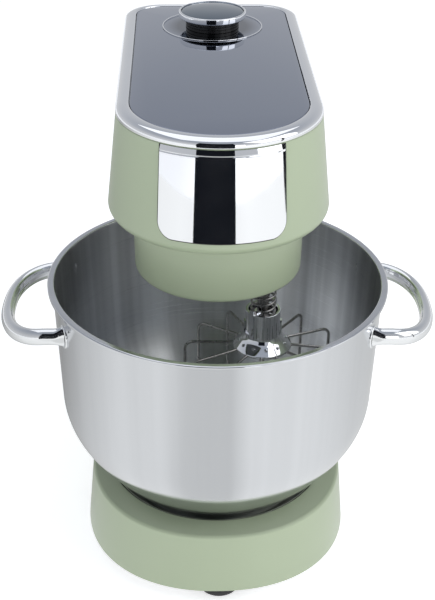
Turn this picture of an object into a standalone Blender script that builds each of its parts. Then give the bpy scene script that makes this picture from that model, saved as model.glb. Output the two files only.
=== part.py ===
"""A tilting-head stand mixer: base and column, tilting head with motor, belt and planetary drive,
whisk on a sprung bayonet, and a steel bowl with two handles.

Metres, +Z up, front of the mixer at -Y, floor at z = 0. The origin is the middle of the footprint.
"""

import math

import bmesh
import bpy
from mathutils import Matrix, Vector

# ---- driving dimensions -------------------------------------------------------------------------

GAP = 0.0003             # clearance between pieces that touch

BOWL_Y = -0.065          # axis of the bowl and of the planetary drive
RIM_Z = 0.2455           # top of the bowl's rim
RIM_R = 0.1362
BOWL_WALL = 0.0015
BOWL_DEPTH = 0.1765      # rim to outer bottom

FOOT_H = 0.010
FOOT_R = 0.0182
BASE_TOP = RIM_Z - 0.177
BASE_HALF_BOTTOM = 0.1122
BASE_HALF_TOP = 0.1065
BASE_REACH = 0.1124       # bowl axis to the front of the base
BASE_POWER = 2.2          # 2 is an ellipse; more is squarer
BASE_EDGE = 0.0028
BASE_WALL = 0.003
REAR_Y = 0.2012          # rearmost face of the base
RECESS_R = 0.0915
RECESS_FLOOR = BASE_TOP - 0.0145

HEAD_BOTTOM = RIM_Z + 0.060
HEAD_TOP = RIM_Z + 0.1405
HEAD_HALF_BOTTOM = 0.0855
HEAD_HALF_TOP = 0.0775
HEAD_REAR_BOTTOM = 0.196
HEAD_REAR_TOP = 0.189
HEAD_CORNER = 0.034
HEAD_EDGE = 0.008
HEAD_WALL = 0.003
GLASS_TOP = RIM_Z + 0.147
GLASS_HALF = 0.0671

COLLAR_R = 0.066
COLLAR_BOTTOM = RIM_Z + 0.011

COLUMN_FRONT = 0.083
COLUMN_REAR = 0.198
COLUMN_HALF_BOTTOM = 0.084
COLUMN_HALF_TOP = 0.078
COLUMN_TOP = HEAD_BOTTOM - 0.0015

HINGE_Y = 0.165
HINGE_Z = 0.265
TILT = math.radians(38)
PIN_R = 0.005

LATCH_Y = 0.112
LATCH_Z = 0.268

# planetary drive: an internal ring gear and one pinion
MODULE = 0.0015
RING_TEETH = 68
PINION_TEETH = 18
ORBIT = MODULE * (RING_TEETH - PINION_TEETH) / 2
BACKLASH = 0.0004
GEAR_BOTTOM = RIM_Z + 0.026
GEAR_TOP = GEAR_BOTTOM + 0.010

CHASSIS_BOTTOM = HEAD_BOTTOM + 0.011
CHASSIS_TOP = CHASSIS_BOTTOM + 0.0035
MOTOR_Y = 0.052
BELT_Z = CHASSIS_TOP + 0.0045     # underside of the belt
BELT_H = 0.008
BELT_T = 0.0018
LARGE_PULLEY_R = 0.046
SMALL_PULLEY_R = 0.010

KNOB_Y = 0.119
KNOB_R = 0.0292
KNOB_LIFT = 0.0089        # glass to the underside of the knob's cap

WIRE_R = 0.00125
WIRE_LOOPS = 6
CAGE_R = 0.0645
HUB_TOP = RIM_Z - 0.032
HUB_BOTTOM = RIM_Z - 0.066
HUB_R = 0.0145
CONE_R = 0.0244

# ---- scene set-up -------------------------------------------------------------------------------

for old in list(bpy.data.objects):
    bpy.data.objects.remove(old, do_unlink=True)

PARTS = bpy.data.collections.new("stand_mixer")
CUTTERS = bpy.data.collections.new("cutters")
bpy.context.scene.collection.children.link(PARTS)
bpy.context.scene.collection.children.link(CUTTERS)

# ---- materials ----------------------------------------------------------------------------------


def finish(name, colour, roughness, metallic=0.0):
    material = bpy.data.materials.new(name)
    material.use_nodes = True
    shader = material.node_tree.nodes["Principled BSDF"]
    shader.inputs["Base Color"].default_value = (*colour, 1.0)
    shader.inputs["Roughness"].default_value = roughness
    shader.inputs["Metallic"].default_value = metallic
    material.diffuse_color = (*colour, 1.0)
    return material


GREEN = finish("sage_green_paint", (0.40, 0.48, 0.35), 0.35)
CHROME = finish("chrome", (0.85, 0.86, 0.88), 0.05, 1.0)
STEEL = finish("stainless_steel", (0.72, 0.72, 0.73), 0.25, 1.0)
DARK_STEEL = finish("plain_steel", (0.42, 0.42, 0.44), 0.35, 1.0)
GREY_GLASS = finish("grey_glass", (0.20, 0.21, 0.24), 0.04)
BLACK = finish("black_plastic", (0.02, 0.02, 0.02), 0.35)
RUBBER = finish("black_rubber", (0.02, 0.02, 0.02), 0.8)
ALUMINIUM = finish("cast_aluminium", (0.60, 0.61, 0.62), 0.45, 1.0)
BRASS = finish("brass", (0.75, 0.58, 0.28), 0.3, 1.0)
COPPER = finish("copper", (0.72, 0.38, 0.22), 0.35, 1.0)
NYLON = finish("white_nylon", (0.80, 0.79, 0.74), 0.5)
BOARD = finish("circuit_board", (0.05, 0.25, 0.12), 0.5)

# ---- modelling helpers --------------------------------------------------------------------------


def add_object(name, data, material=None, cutter=False):
    """Links an object in its collection, shaded smooth with sharp edges kept."""
    thing = bpy.data.objects.new(name, data)
    if cutter:
        CUTTERS.objects.link(thing)
        thing.hide_render = True
        thing.display_type = "WIRE"
    else:
        PARTS.objects.link(thing)
        data.materials.append(material)
    return thing


def from_bmesh(name, shape, material=None, cutter=False):
    mesh = bpy.data.meshes.new(name)
    bmesh.ops.recalc_face_normals(shape, faces=shape.faces)
    shape.to_mesh(mesh)
    shape.free()
    mesh.shade_smooth()
    mesh.set_sharp_from_angle(angle=math.radians(35))
    return add_object(name, mesh, material, cutter)


def box(name, low, high, material=None, cutter=False):
    shape = bmesh.new()
    size = Vector(high) - Vector(low)
    middle = (Vector(high) + Vector(low)) / 2
    place = Matrix.Translation(middle) @ Matrix.Diagonal((*size, 1.0))
    bmesh.ops.create_cube(shape, size=1.0, matrix=place)
    return from_bmesh(name, shape, material, cutter)


def rod(name, start, end, radius, steps=24, material=None, cutter=False):
    """A round bar between two points."""
    start, end = Vector(start), Vector(end)
    along = end - start
    turn = along.to_track_quat("Z", "Y").to_matrix().to_4x4()
    place = Matrix.Translation((start + end) / 2) @ turn
    shape = bmesh.new()
    bmesh.ops.create_cone(shape, cap_ends=True, segments=steps, radius1=radius, radius2=radius,
                          depth=along.length, matrix=place)
    return from_bmesh(name, shape, material, cutter)


def loft(name, rings, material=None, closed=False, cutter=False):
    """Joins equal rings of points; the end rings are capped, or joined when the section is closed."""
    shape = bmesh.new()
    rows = [[shape.verts.new(point) for point in ring] for ring in rings]
    count = len(rows[0])
    pairs = list(zip(rows, rows[1:]))
    if closed:
        pairs.append((rows[-1], rows[0]))
    for lower, upper in pairs:
        for i in range(count):
            j = (i + 1) % count
            shape.faces.new((lower[i], lower[j], upper[j], upper[i]))
    if not closed:
        shape.faces.new(rows[0])
        shape.faces.new(rows[-1])
    return from_bmesh(name, shape, material, cutter)


def turned(name, profile, steps, centre, material=None, closed=True, cutter=False):
    """A turned piece: profile points (radius, height) run down the outer side."""
    shape = bmesh.new()
    points = [shape.verts.new((radius, 0.0, height)) for radius, height in profile]
    for a, b in zip(points, points[1:]):
        shape.edges.new((a, b))
    if closed:
        shape.edges.new((points[-1], points[0]))
    mesh = bpy.data.meshes.new(name)
    shape.to_mesh(mesh)
    shape.free()
    thing = add_object(name, mesh, material, cutter)
    thing.location = centre
    screw = thing.modifiers.new("turn", "SCREW")
    screw.steps = steps
    screw.render_steps = steps
    screw.use_merge_vertices = True
    screw.merge_threshold = 0.00001
    screw.use_smooth_shade = True
    return thing


def mesh_from_curve(name, curve, place, material=None, cutter=False):
    """Turns a curve into a welded mesh, so that it can be cut or joined."""
    rough = bpy.data.objects.new(name + "_outline", curve)
    PARTS.objects.link(rough)
    rough.matrix_world = place
    bpy.context.view_layer.update()
    graph = bpy.context.evaluated_depsgraph_get()
    mesh = bpy.data.meshes.new_from_object(rough.evaluated_get(graph))
    bpy.data.objects.remove(rough, do_unlink=True)
    shape = bmesh.new()
    shape.from_mesh(mesh)
    bmesh.ops.remove_doubles(shape, verts=shape.verts, dist=0.00001)
    bmesh.ops.recalc_face_normals(shape, faces=shape.faces)
    shape.to_mesh(mesh)
    shape.free()
    mesh.materials.clear()
    mesh.shade_smooth()
    mesh.set_sharp_from_angle(angle=math.radians(35))
    thing = add_object(name, mesh, material, cutter)
    thing.matrix_world = place
    return thing


SIDEWAYS = Matrix(((0, 0, 1, 0), (1, 0, 0, 0), (0, 1, 0, 0), (0, 0, 0, 1)))   # outline (y, z), thick in x


def plate(name, outlines, thickness, place, material=None, cutter=False):
    """A flat piece from closed outlines: the first is the edge, the others are holes."""
    curve = bpy.data.curves.new(name, "CURVE")
    curve.dimensions = "2D"
    curve.fill_mode = "BOTH"
    curve.extrude = thickness / 2
    for outline in outlines:
        spline = curve.splines.new("POLY")
        spline.points.add(len(outline) - 1)
        for point, (u, v) in zip(spline.points, outline):
            point.co = (u, v, 0.0, 1.0)
        spline.use_cyclic_u = True
    return mesh_from_curve(name, curve, place, material, cutter)


def wire(name, points, radius, material, cyclic=False, sides=1):
    """A round wire or tube along the points."""
    curve = bpy.data.curves.new(name, "CURVE")
    curve.dimensions = "3D"
    curve.bevel_depth = radius
    curve.bevel_resolution = sides
    curve.use_fill_caps = not cyclic
    spline = curve.splines.new("POLY")
    spline.points.add(len(points) - 1)
    for knot, point in zip(spline.points, points):
        knot.co = (*point, 1.0)
    spline.use_cyclic_u = cyclic
    return add_object(name, curve, material)


def modify(thing, other, operation):
    change = thing.modifiers.new(operation.lower() + "_" + other.name, "BOOLEAN")
    change.operation = operation
    change.object = other
    change.solver = "EXACT"


def cut(thing, *cutters):
    for cutter in cutters:
        modify(thing, cutter, "DIFFERENCE")


def join(thing, *others):
    for other in others:
        modify(thing, other, "UNION")


def arc(radius, start, end, steps, centre=(0.0, 0.0)):
    """Points along an arc, from one angle to another, in degrees."""
    angles = [math.radians(start + (end - start) * i / steps) for i in range(steps + 1)]
    return [(centre[0] + radius * math.cos(a), centre[1] + radius * math.sin(a)) for a in angles]


def circle(radius, steps, centre=(0.0, 0.0)):
    return arc(radius, 0, 360, steps, centre)[:-1]


def plan(half, rear, corner, taper=0.0, front_steps=18, corner_steps=3):
    """The mixer's plan outline: round at the front about the bowl's axis, square at the rear."""
    side = half - taper
    outline = arc(half, 180, 360, front_steps, (0.0, BOWL_Y))
    outline += arc(corner, 0, 90, corner_steps, (side - corner, rear - corner))
    outline += arc(corner, 90, 180, corner_steps, (corner - side, rear - corner))
    return outline


def level(outline, height):
    return [(x, y, height) for x, y in outline]


def mix(a, b, t):
    return a + (b - a) * t


# ---- bowl ---------------------------------------------------------------------------------------

BOWL_SIDE_TOP = 0.1321
BOWL_SIDE_LOW = 0.1288
BOWL_SIDE_END = 0.103      # depth where the side starts to turn in
BOWL_FLAT = 0.0881
BOWL_TURN_TOP = 0.0283     # how far the side and the bottom pull on the curve between them
BOWL_TURN_LOW = (0.0229, 0.0270)


def bowl_radius(depth, inset=0.0):
    """Radius of the straight upper part of the bowl at a depth below the rim."""
    t = (depth - 0.008) / (BOWL_SIDE_END - 0.008)
    return mix(BOWL_SIDE_TOP, BOWL_SIDE_LOW, max(t, 0.0)) - inset


def bowl_side(inset):
    """Points of one face of the wall, from the rim's underside to the flat bottom."""
    start = BOWL_SIDE_END
    pull = start + BOWL_TURN_TOP
    floor = BOWL_DEPTH - inset
    flat = BOWL_FLAT - inset * 0.5
    steer = ((bowl_radius(start, inset), start), (bowl_radius(pull, inset), pull),
             (flat + BOWL_TURN_LOW[0], floor - BOWL_TURN_LOW[1]), (flat, floor))
    points = [(bowl_radius(0.008, inset), -0.008)]
    steps = 6
    for i in range(steps + 1):
        t = i / steps
        share = ((1 - t) ** 3, 3 * t * (1 - t) ** 2, 3 * t * t * (1 - t), t ** 3)
        radius = sum(k * point[0] for k, point in zip(share, steer))
        depth = sum(k * point[1] for k, point in zip(share, steer))
        points.append((radius, -depth))
    return points


def make_bowl():
    inside = [(0.0, BOWL_WALL - BOWL_DEPTH)] + bowl_side(BOWL_WALL)[::-1]
    rim = [(BOWL_SIDE_TOP - BOWL_WALL, 0.0), (RIM_R, 0.0), (RIM_R, -0.0028), (BOWL_SIDE_TOP, -0.0034)]
    outside = bowl_side(0.0) + [(0.0, -BOWL_DEPTH)]
    turned("bowl_shell", inside + rim + outside, 40, (0, BOWL_Y, RIM_Z), STEEL, closed=False)

    top = RIM_Z - BOWL_DEPTH - GAP
    low = RECESS_FLOOR + 0.0032
    profile = [(0.0757, top), (0.0790, top), (0.0790, low), (0.0757, low)]
    ring = turned("bowl_foot_ring", profile, 36, (0, BOWL_Y, 0), STEEL)
    for i in range(4):
        lug = box(f"foot_lug_{i}", (0.0672, -0.010, low), (0.0770, 0.010, low + 0.0033), cutter=True)
        lug.matrix_world = Matrix.Translation((0, BOWL_Y, 0)) @ Matrix.Rotation(math.pi / 2 * i, 4, "Z")
        join(ring, lug)

    for side, name in ((-1, "bowl_handle_left"), (1, "bowl_handle_right")):
        make_handle(name, side)


HANDLE_REACH = 0.1690      # bowl axis to the middle of the tube at its farthest
HANDLE_HALF = 0.0545       # half the distance between the two ends
HANDLE_TUBE = 0.0055       # half the width of the oval tube
HANDLE_TALL = 1.25         # height of the oval over its width
HANDLE_DROP = 0.0250
BOWL_TURN = math.radians(-1.0)   # how far the handles stand off the mixer's sides


def make_handle(name, side):
    """A D-shaped tube: two straight runs from the wall, joined by a broad curve."""
    height = RIM_Z - HANDLE_DROP
    wall = math.sqrt(bowl_radius(HANDLE_DROP) ** 2 - HANDLE_HALF ** 2) + 0.0034
    bend = 0.034
    half = []
    for i in range(7):
        angle = math.radians(90 * i / 6)
        reach = HANDLE_REACH - bend * (1 - math.cos(angle) ** 0.9)
        half.append((reach, HANDLE_HALF * math.sin(angle) ** 0.85, height - 0.004 * math.cos(angle)))
    half.append((wall, HANDLE_HALF, height))
    path = [(x, -y, z) for x, y, z in half[::-1]] + half[1:]
    points = [(side * x, y, (z - height) / HANDLE_TALL) for x, y, z in path]
    tube = wire(name, points, HANDLE_TUBE, STEEL, sides=2)
    stretch = Matrix.Diagonal((1, 1, HANDLE_TALL, 1))
    tube.matrix_world = Matrix.Translation((0, BOWL_Y, height)) @ Matrix.Rotation(BOWL_TURN, 4, "Z") @ stretch


# ---- base and column ----------------------------------------------------------------------------


def base_ring(height, inset=0.0):
    """Plan ring of the base at a height, drawn in by the draft of its sides."""
    t = (height - FOOT_H) / (BASE_TOP - FOOT_H)
    half = mix(BASE_HALF_BOTTOM, BASE_HALF_TOP, t) - inset
    reach = BASE_REACH - inset
    outline = plan(half, REAR_Y - 0.001 * t - inset, 0.045 - inset, taper=0.008)
    made = []
    for x, y in outline:
        if y < BOWL_Y + 1e-6:
            across, along = x / half, (BOWL_Y - y) / half
            stretch = (abs(across) ** BASE_POWER + abs(along) ** BASE_POWER) ** (-1 / BASE_POWER)
            x, y = across * stretch * half, BOWL_Y - along * stretch * reach
        made.append((x, y))
    return level(made, height)


def make_base():
    edge = [(BASE_EDGE * (1 - math.cos(a)), BASE_EDGE * (1 - math.sin(a)))
            for a in (math.radians(d) for d in (0, 30, 60, 90))]
    outside = [base_ring(FOOT_H)] + [base_ring(BASE_TOP - drop, inset) for inset, drop in edge]
    inside = [base_ring(BASE_TOP - BASE_WALL, BASE_WALL), base_ring(FOOT_H, BASE_WALL)]
    housing = loft("base_housing", outside[::-1] + inside[::-1], GREEN)
    cup = rod("recess_wall", (0, BOWL_Y, RECESS_FLOOR - 0.0025), (0, BOWL_Y, BASE_TOP - 0.001),
              RECESS_R + 0.0025, 36, cutter=True)
    hollow = rod("recess", (0, BOWL_Y, RECESS_FLOOR), (0, BOWL_Y, BASE_TOP + 0.01), RECESS_R, 36, cutter=True)
    low = BASE_TOP - 0.010
    well = box("column_opening", (-0.050, 0.098, low), (0.050, 0.184, low + 0.020), cutter=True)
    join(housing, cup)
    cut(housing, hollow, well)

    rim = [base_ring(FOOT_H + 0.0003, BASE_WALL + GAP), base_ring(FOOT_H + 0.0025, BASE_WALL + GAP)]
    loft("base_bottom_plate", rim, DARK_STEEL)

    places = [(0.0, BOWL_Y - 0.0905), (-0.083, -0.035), (0.083, -0.035), (-0.070, 0.165), (0.070, 0.165)]
    names = ["foot_front", "foot_left", "foot_right", "foot_rear_left", "foot_rear_right"]
    for name, (x, y) in zip(names, places):
        profile = [(0.0, FOOT_H), (FOOT_R, FOOT_H), (FOOT_R, 0.004), (FOOT_R - 0.0015, 0.0), (0.0, 0.0)]
        turned(name, profile, 20, (x, y, 0), RUBBER, closed=False)


def make_bowl_seat():
    """The plate that holds the bowl: four tongues over the lugs of the bowl's foot."""
    floor = RECESS_FLOOR + GAP
    lip = BASE_TOP - 0.0010
    profile = [(0.0597, floor + 0.0096), (0.0637, floor + 0.0096), (0.0637, floor + 0.0026),
               (0.0894, floor + 0.0026), (0.0894, lip), (0.0905, lip), (0.0905, floor), (0.0597, floor)]
    seat = turned("bowl_seat_ring", profile, 32, (0, BOWL_Y, 0), DARK_STEEL)
    for i in range(4):
        tongue = box(f"seat_tongue_{i}", (0.0617, -0.013, floor + 0.0076), (0.0717, 0.013, floor + 0.0092),
                     cutter=True)
        tongue.matrix_world = Matrix.Translation((0, BOWL_Y, 0)) @ Matrix.Rotation(math.pi / 2 * i, 4, "Z")
        join(seat, tongue)


def swing_cutter(name, clearance):
    """Everything that the tilting head passes through above the column, seen from the side."""
    radius = HEAD_BOTTOM - HINGE_Z - clearance
    slope = math.degrees(TILT)
    centre = (HINGE_Y, HINGE_Z)
    crest = arc(radius, 90, 90 - slope, 6, centre)
    last = crest[-1]
    run = 0.09
    tail = (last[0] + run * math.cos(TILT), last[1] - run * math.sin(TILT))
    outline = [(0.0, crest[0][1])] + crest + [tail, (tail[0] + 0.02, 0.36), (0.0, 0.36)]
    return plate(name, [outline], 0.30, SIDEWAYS, cutter=True)


def column_ring(height, inset=0.0):
    t = max((height - BASE_TOP) / (COLUMN_TOP - BASE_TOP), 0.0)
    half = mix(COLUMN_HALF_BOTTOM, COLUMN_HALF_TOP, t ** 0.6) - inset
    front, rear = COLUMN_FRONT + inset, COLUMN_REAR - inset
    nose, tail = 0.016 - inset / 2, 0.030 - inset / 2
    outline = arc(nose, 180, 270, 3, (nose - half, front + nose))
    outline += arc(nose, 270, 360, 3, (half - nose, front + nose))
    outline += arc(tail, 0, 90, 4, (half - tail, rear - tail))
    outline += arc(tail, 90, 180, 4, (tail - half, rear - tail))
    return level(outline, height)


def make_column():
    heights = [BASE_TOP + GAP, 0.10, 0.15, 0.22, 0.31]
    shell = loft("column_shell", [column_ring(h) for h in heights], GREEN)
    cavity = loft("column_cavity", [column_ring(h, 0.003) for h in [0.060] + heights[1:]], cutter=True)
    cut(cavity, swing_cutter("cavity_roof", 0.0050))
    slot = box("bracket_slot", (-0.0245, 0.128, 0.262), (0.0245, 0.230, 0.330), cutter=True)
    door = box("rear_opening", (-0.050, 0.180, 0.082), (0.050, 0.230, 0.252), cutter=True)
    shaft = rod("latch_hole", (0.05, LATCH_Y, LATCH_Z), (0.10, LATCH_Y, LATCH_Z), 0.0048, 16, cutter=True)
    cut(shell, swing_cutter("head_swing", 0.0020), cavity, slot, door, shaft)

    cover = box("column_rear_cover", (-0.050 + GAP, COLUMN_REAR - 0.003, 0.082 + GAP),
                (0.050 - GAP, COLUMN_REAR, 0.252 - GAP), GREEN)
    for i in range(5):
        z = 0.190 + 0.009 * i
        cut(cover, box(f"vent_{i}", (-0.030, 0.18, z), (0.030, 0.21, z + 0.004), cutter=True))
    cut(cover, rod("inlet_hole", (0, 0.18, 0.105), (0, 0.21, 0.105), 0.0083, 20, cutter=True))
    gland = [(0.0045, 0.0018), (0.0110, 0.0018), (0.0110, GAP), (0.0080, GAP), (0.0080, -0.0100),
             (0.0045, -0.0100)]
    inlet = turned("power_inlet", gland, 20, (0, COLUMN_REAR, 0.105), BLACK)
    inlet.rotation_euler = (math.radians(-90), 0, 0)


def make_column_frame():
    """The upright that carries the hinge: two cheeks, a web and a foot bolted to the bottom plate."""
    boss = arc(0.015, -30, 200, 10, (HINGE_Y, HINGE_Z))
    outline = boss + [(0.104, 0.215), (0.104, 0.0140), (0.182, 0.0140), (0.182, 0.225)]
    frame = plate("column_frame", [outline], 0.006, SIDEWAYS, ALUMINIUM)
    frame.location.x = -0.028
    other = plate("right_cheek", [outline], 0.006, SIDEWAYS, cutter=True)
    other.location.x = 0.028
    web = box("front_web", (-0.0285, 0.1055, 0.0165), (0.0285, 0.1110, 0.200), cutter=True)
    foot = box("frame_foot", (-0.045, 0.1010, 0.0138), (0.045, 0.1855, 0.0205), cutter=True)
    join(frame, web, foot, other)
    bushes = rod("bush_holes", (-0.05, HINGE_Y, HINGE_Z), (0.05, HINGE_Y, HINGE_Z), 0.0083, 20, cutter=True)
    cut(frame, bushes)

    for side, name in ((-1, "hinge_bush_left"), (1, "hinge_bush_right")):
        ring = [(PIN_R + GAP, 0.0034), (0.0080, 0.0034), (0.0080, -0.0034), (PIN_R + GAP, -0.0034)]
        bush = turned(name, ring, 16, (0.028 * side, HINGE_Y, HINGE_Z), BRASS)
        bush.rotation_euler = (0, math.radians(90), 0)
    rod("hinge_pin", (-0.036, HINGE_Y, HINGE_Z), (0.036, HINGE_Y, HINGE_Z), PIN_R, 20, DARK_STEEL)


def make_release():
    """A lever on the right of the column, its shaft, the latch it turns and the spring round the shaft."""
    side = COLUMN_HALF_TOP + 0.0012
    middle = (side, LATCH_Y, LATCH_Z)
    lever = rod("release_lever", middle, (side + 0.009, LATCH_Y, LATCH_Z), 0.0125, 24, CHROME)
    arm = box("lever_arm", (side + 0.002, LATCH_Y - 0.0065, LATCH_Z - 0.036),
              (side + 0.009, LATCH_Y + 0.0065, LATCH_Z), cutter=True)
    spindle = rod("lever_spindle", (0.014, LATCH_Y, LATCH_Z), (side + 0.004, LATCH_Y, LATCH_Z), 0.0040, 16,
                  cutter=True)
    join(lever, arm, spindle)

    tip = LATCH_Y + 0.0272
    claw = arc(0.0085, 40, 320, 12, (LATCH_Y, LATCH_Z)) + [(tip, LATCH_Z - 0.004), (tip, LATCH_Z + 0.003)]
    hole = circle(0.0040 + GAP, 16, (LATCH_Y, LATCH_Z))
    latch = plate("head_latch", [claw, hole], 0.006, SIDEWAYS, DARK_STEEL)
    latch.location.x = 0.0185

    coils = 4
    per_turn = 8
    points = []
    for i in range(coils * per_turn + 1):
        angle = 2 * math.pi * i / per_turn
        x = 0.0400 + 0.0026 * i / per_turn
        points.append((x, LATCH_Y + 0.0062 * math.cos(angle), LATCH_Z + 0.0062 * math.sin(angle)))
    wire("latch_spring", points, 0.0007, DARK_STEEL, sides=0)


# ---- head ---------------------------------------------------------------------------------------


def head_half(height):
    """Half width of the head's outside at a height."""
    start = HEAD_BOTTOM + HEAD_EDGE
    return mix(HEAD_HALF_BOTTOM, HEAD_HALF_TOP, max((height - start) / (HEAD_TOP - start), 0.0))


def head_ring(height, inset=0.0):
    t = max((height - HEAD_BOTTOM - HEAD_EDGE) / (HEAD_TOP - HEAD_BOTTOM - HEAD_EDGE), 0.0)
    rear = mix(HEAD_REAR_BOTTOM, HEAD_REAR_TOP, t) - inset
    return level(plan(head_half(height) - inset, rear, HEAD_CORNER - inset), height)


def make_head_shell():
    turn = [math.radians(d) for d in (90, 60, 30, 0)]
    edge = [(HEAD_EDGE * (1 - math.sin(a)), HEAD_EDGE * (1 - math.cos(a))) for a in turn]
    outside = [head_ring(HEAD_BOTTOM + rise, inset) for rise, inset in edge]
    outside += [head_ring(mix(HEAD_BOTTOM + HEAD_EDGE, HEAD_TOP, 0.5)), head_ring(HEAD_TOP)]
    inside = [head_ring(HEAD_TOP, HEAD_WALL), head_ring(HEAD_BOTTOM + 0.012, HEAD_WALL),
              head_ring(HEAD_BOTTOM + 0.005, HEAD_WALL + 0.002), head_ring(HEAD_BOTTOM + HEAD_WALL, 0.009)]
    shell = loft("head_shell", outside + inside, GREEN)
    hole = rod("drive_hole", (0, BOWL_Y, HEAD_BOTTOM - 0.01), (0, BOWL_Y, HEAD_BOTTOM + 0.01), 0.0605, 40,
               cutter=True)
    low = HEAD_BOTTOM - 0.01
    slot = box("shell_slot", (-0.0235, 0.132, low), (0.0235, 0.181, low + 0.02), cutter=True)
    cut(shell, hole, slot)
    for i in range(6):
        z = HEAD_BOTTOM + 0.022 + 0.008 * i
        cut(shell, box(f"head_vent_{i}", (-0.035, 0.17, z), (0.035, 0.21, z + 0.0035), cutter=True))


def make_bezel():
    """The chrome surround: a rounded band between the painted wall and the glass."""
    low = HEAD_TOP + GAP
    section = [(0.0002, low), (0.0002, low + 0.0020), (-0.0012, low + 0.0045), (-0.0040, low + 0.0062),
               (-0.0088, low + 0.0068), (-0.0101, low + 0.0062), (-0.0101, low + 0.0032),
               (-0.0129, low + 0.0032), (-0.0129, low)]
    rings = []
    for out, height in section:
        half = HEAD_HALF_TOP + out
        rings.append(level(plan(half, HEAD_REAR_TOP + out, HEAD_CORNER + out), height))
    loft("chrome_bezel", rings, CHROME, closed=True)


def make_glass():
    low = HEAD_TOP + GAP + 0.0032 + GAP
    inset = HEAD_HALF_TOP - GLASS_HALF
    rings = []
    for shrink, height in ((GAP, low), (GAP, GLASS_TOP - 0.0007), (0.0009, GLASS_TOP)):
        half = GLASS_HALF - shrink
        rings.append(level(plan(half, HEAD_REAR_TOP - inset - shrink, HEAD_CORNER - inset - shrink), height))
    glass = loft("glass_top_panel", rings, GREY_GLASS)
    hole = rod("spindle_hole", (0, KNOB_Y, low - 0.01), (0, KNOB_Y, low + 0.02), 0.0040, 16, cutter=True)
    cut(glass, hole)


PLATE_ANGLE = math.radians(34.0)
PLATE_BOTTOM = HEAD_BOTTOM + 0.0095
PLATE_CORNER = 0.012


def make_front_plate():
    """The polished plate wrapped round the head's front, with its two lower corners rounded."""
    top = HEAD_TOP - 0.0005
    rises = [PLATE_CORNER * (1 - math.cos(math.radians(d))) for d in (0, 30, 60, 90)]
    heights = [PLATE_BOTTOM + rise for rise in rises] + [mix(PLATE_BOTTOM, top, 0.6), top]
    rings = []
    for height in heights:
        rise = min(height - PLATE_BOTTOM, PLATE_CORNER)
        side = math.sqrt(PLATE_CORNER ** 2 - (PLATE_CORNER - rise) ** 2)
        reach = PLATE_ANGLE - (PLATE_CORNER - side) / head_half(height)
        span = math.degrees(reach)
        outer = arc(head_half(height) + 0.0015, 270 - span, 270 + span, 10, (0.0, BOWL_Y))
        inner = arc(head_half(height) + 0.0004, 270 + span, 270 - span, 10, (0.0, BOWL_Y))
        rings.append(level(outer + inner, height))
    loft("front_plate", rings, CHROME)


def make_collar():
    top = HEAD_BOTTOM - GAP
    low = COLLAR_BOTTOM
    profile = [(0.0630, top), (COLLAR_R + 0.0006, top), (COLLAR_R, low + 0.006),
               (COLLAR_R - 0.0012, low + 0.0025), (COLLAR_R - 0.0040, low), (0.0612, low),
               (0.0612, low + 0.003), (0.0630, low + 0.005)]
    turned("drive_collar", profile, 36, (0, BOWL_Y, 0), GREEN)


def make_chassis():
    """The plate that carries the motor and the gearbox, with two ears down to the hinge."""
    half = head_half(CHASSIS_TOP) - 0.009
    rear = 0.176
    edge = plan(half, rear, 0.026, front_steps=16, corner_steps=3)
    bore = circle(0.0060, 20, (0.0, BOWL_Y))
    place = Matrix.Translation((0, 0, (CHASSIS_BOTTOM + CHASSIS_TOP) / 2))
    chassis = plate("chassis_plate", [edge, bore], CHASSIS_TOP - CHASSIS_BOTTOM, place, ALUMINIUM)
    boss = arc(0.0120, 200, 350, 8, (HINGE_Y, HINGE_Z))
    toe = [(0.1415, 0.283), (0.1400, LATCH_Z + 0.004), (0.1400, LATCH_Z - 0.004)]
    outline = boss + [(0.1735, 0.290), (0.1735, CHASSIS_TOP - 0.001), (0.1395, CHASSIS_TOP - 0.001)] + toe
    for i, x in enumerate((-0.015, 0.015)):
        ear = plate(f"hinge_ear_{i}", [outline], 0.008, SIDEWAYS, cutter=True)
        ear.location.x = x
        join(chassis, ear)
    start, end = (-0.05, HINGE_Y, HINGE_Z), (0.05, HINGE_Y, HINGE_Z)
    cut(chassis, rod("pin_hole", start, end, PIN_R + GAP, 20, cutter=True))


def make_gearbox():
    """The cup that hangs under the chassis plate, its ring gear and the bearing of the main shaft."""
    top = CHASSIS_BOTTOM - GAP
    web = top - 0.005
    profile = [(0.0113, top), (0.0595, top), (0.0595, GEAR_BOTTOM), (0.0562, GEAR_BOTTOM), (0.0562, web),
               (0.0113, web)]
    turned("gear_housing", profile, 28, (0, BOWL_Y, 0), ALUMINIUM)

    spaces = gear_outline(RING_TEETH, 0.0015, -0.0010, BACKLASH / 2, flank=1, phase=0.5)
    place = Matrix.Translation((0, BOWL_Y, (GEAR_BOTTOM + GEAR_TOP) / 2))
    plate("ring_gear", [circle(0.0558, 36), spaces], GEAR_TOP - GEAR_BOTTOM, place, DARK_STEEL)

    ring = [(0.0058, top), (0.0110, top), (0.0110, web), (0.0058, web)]
    turned("main_bearing", ring, 16, (0, BOWL_Y, 0), DARK_STEEL)


def gear_outline(teeth, tip, root, widen, flank, phase):
    """An involute gear outline. tip and root are measured from the pitch circle."""
    pitch = MODULE * teeth / 2
    base = pitch * math.cos(math.radians(20))

    def involute(radius):
        slope = math.acos(min(base / max(radius, base), 1.0))
        return math.tan(slope) - slope

    def half_angle(radius):
        return math.pi / 2 / teeth + widen / 2 / pitch + involute(pitch) - involute(radius)

    radii = [mix(pitch + root, pitch + tip, i / flank) for i in range(flank + 1)]
    side = [(radius, half_angle(radius)) for radius in radii]
    points = []
    for i in range(teeth):
        middle = 2 * math.pi * (i + phase) / teeth
        for radius, half in side:
            points.append((radius * math.cos(middle - half), radius * math.sin(middle - half)))
        for radius, half in side[::-1]:
            points.append((radius * math.cos(middle + half), radius * math.sin(middle + half)))
    return points


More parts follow.
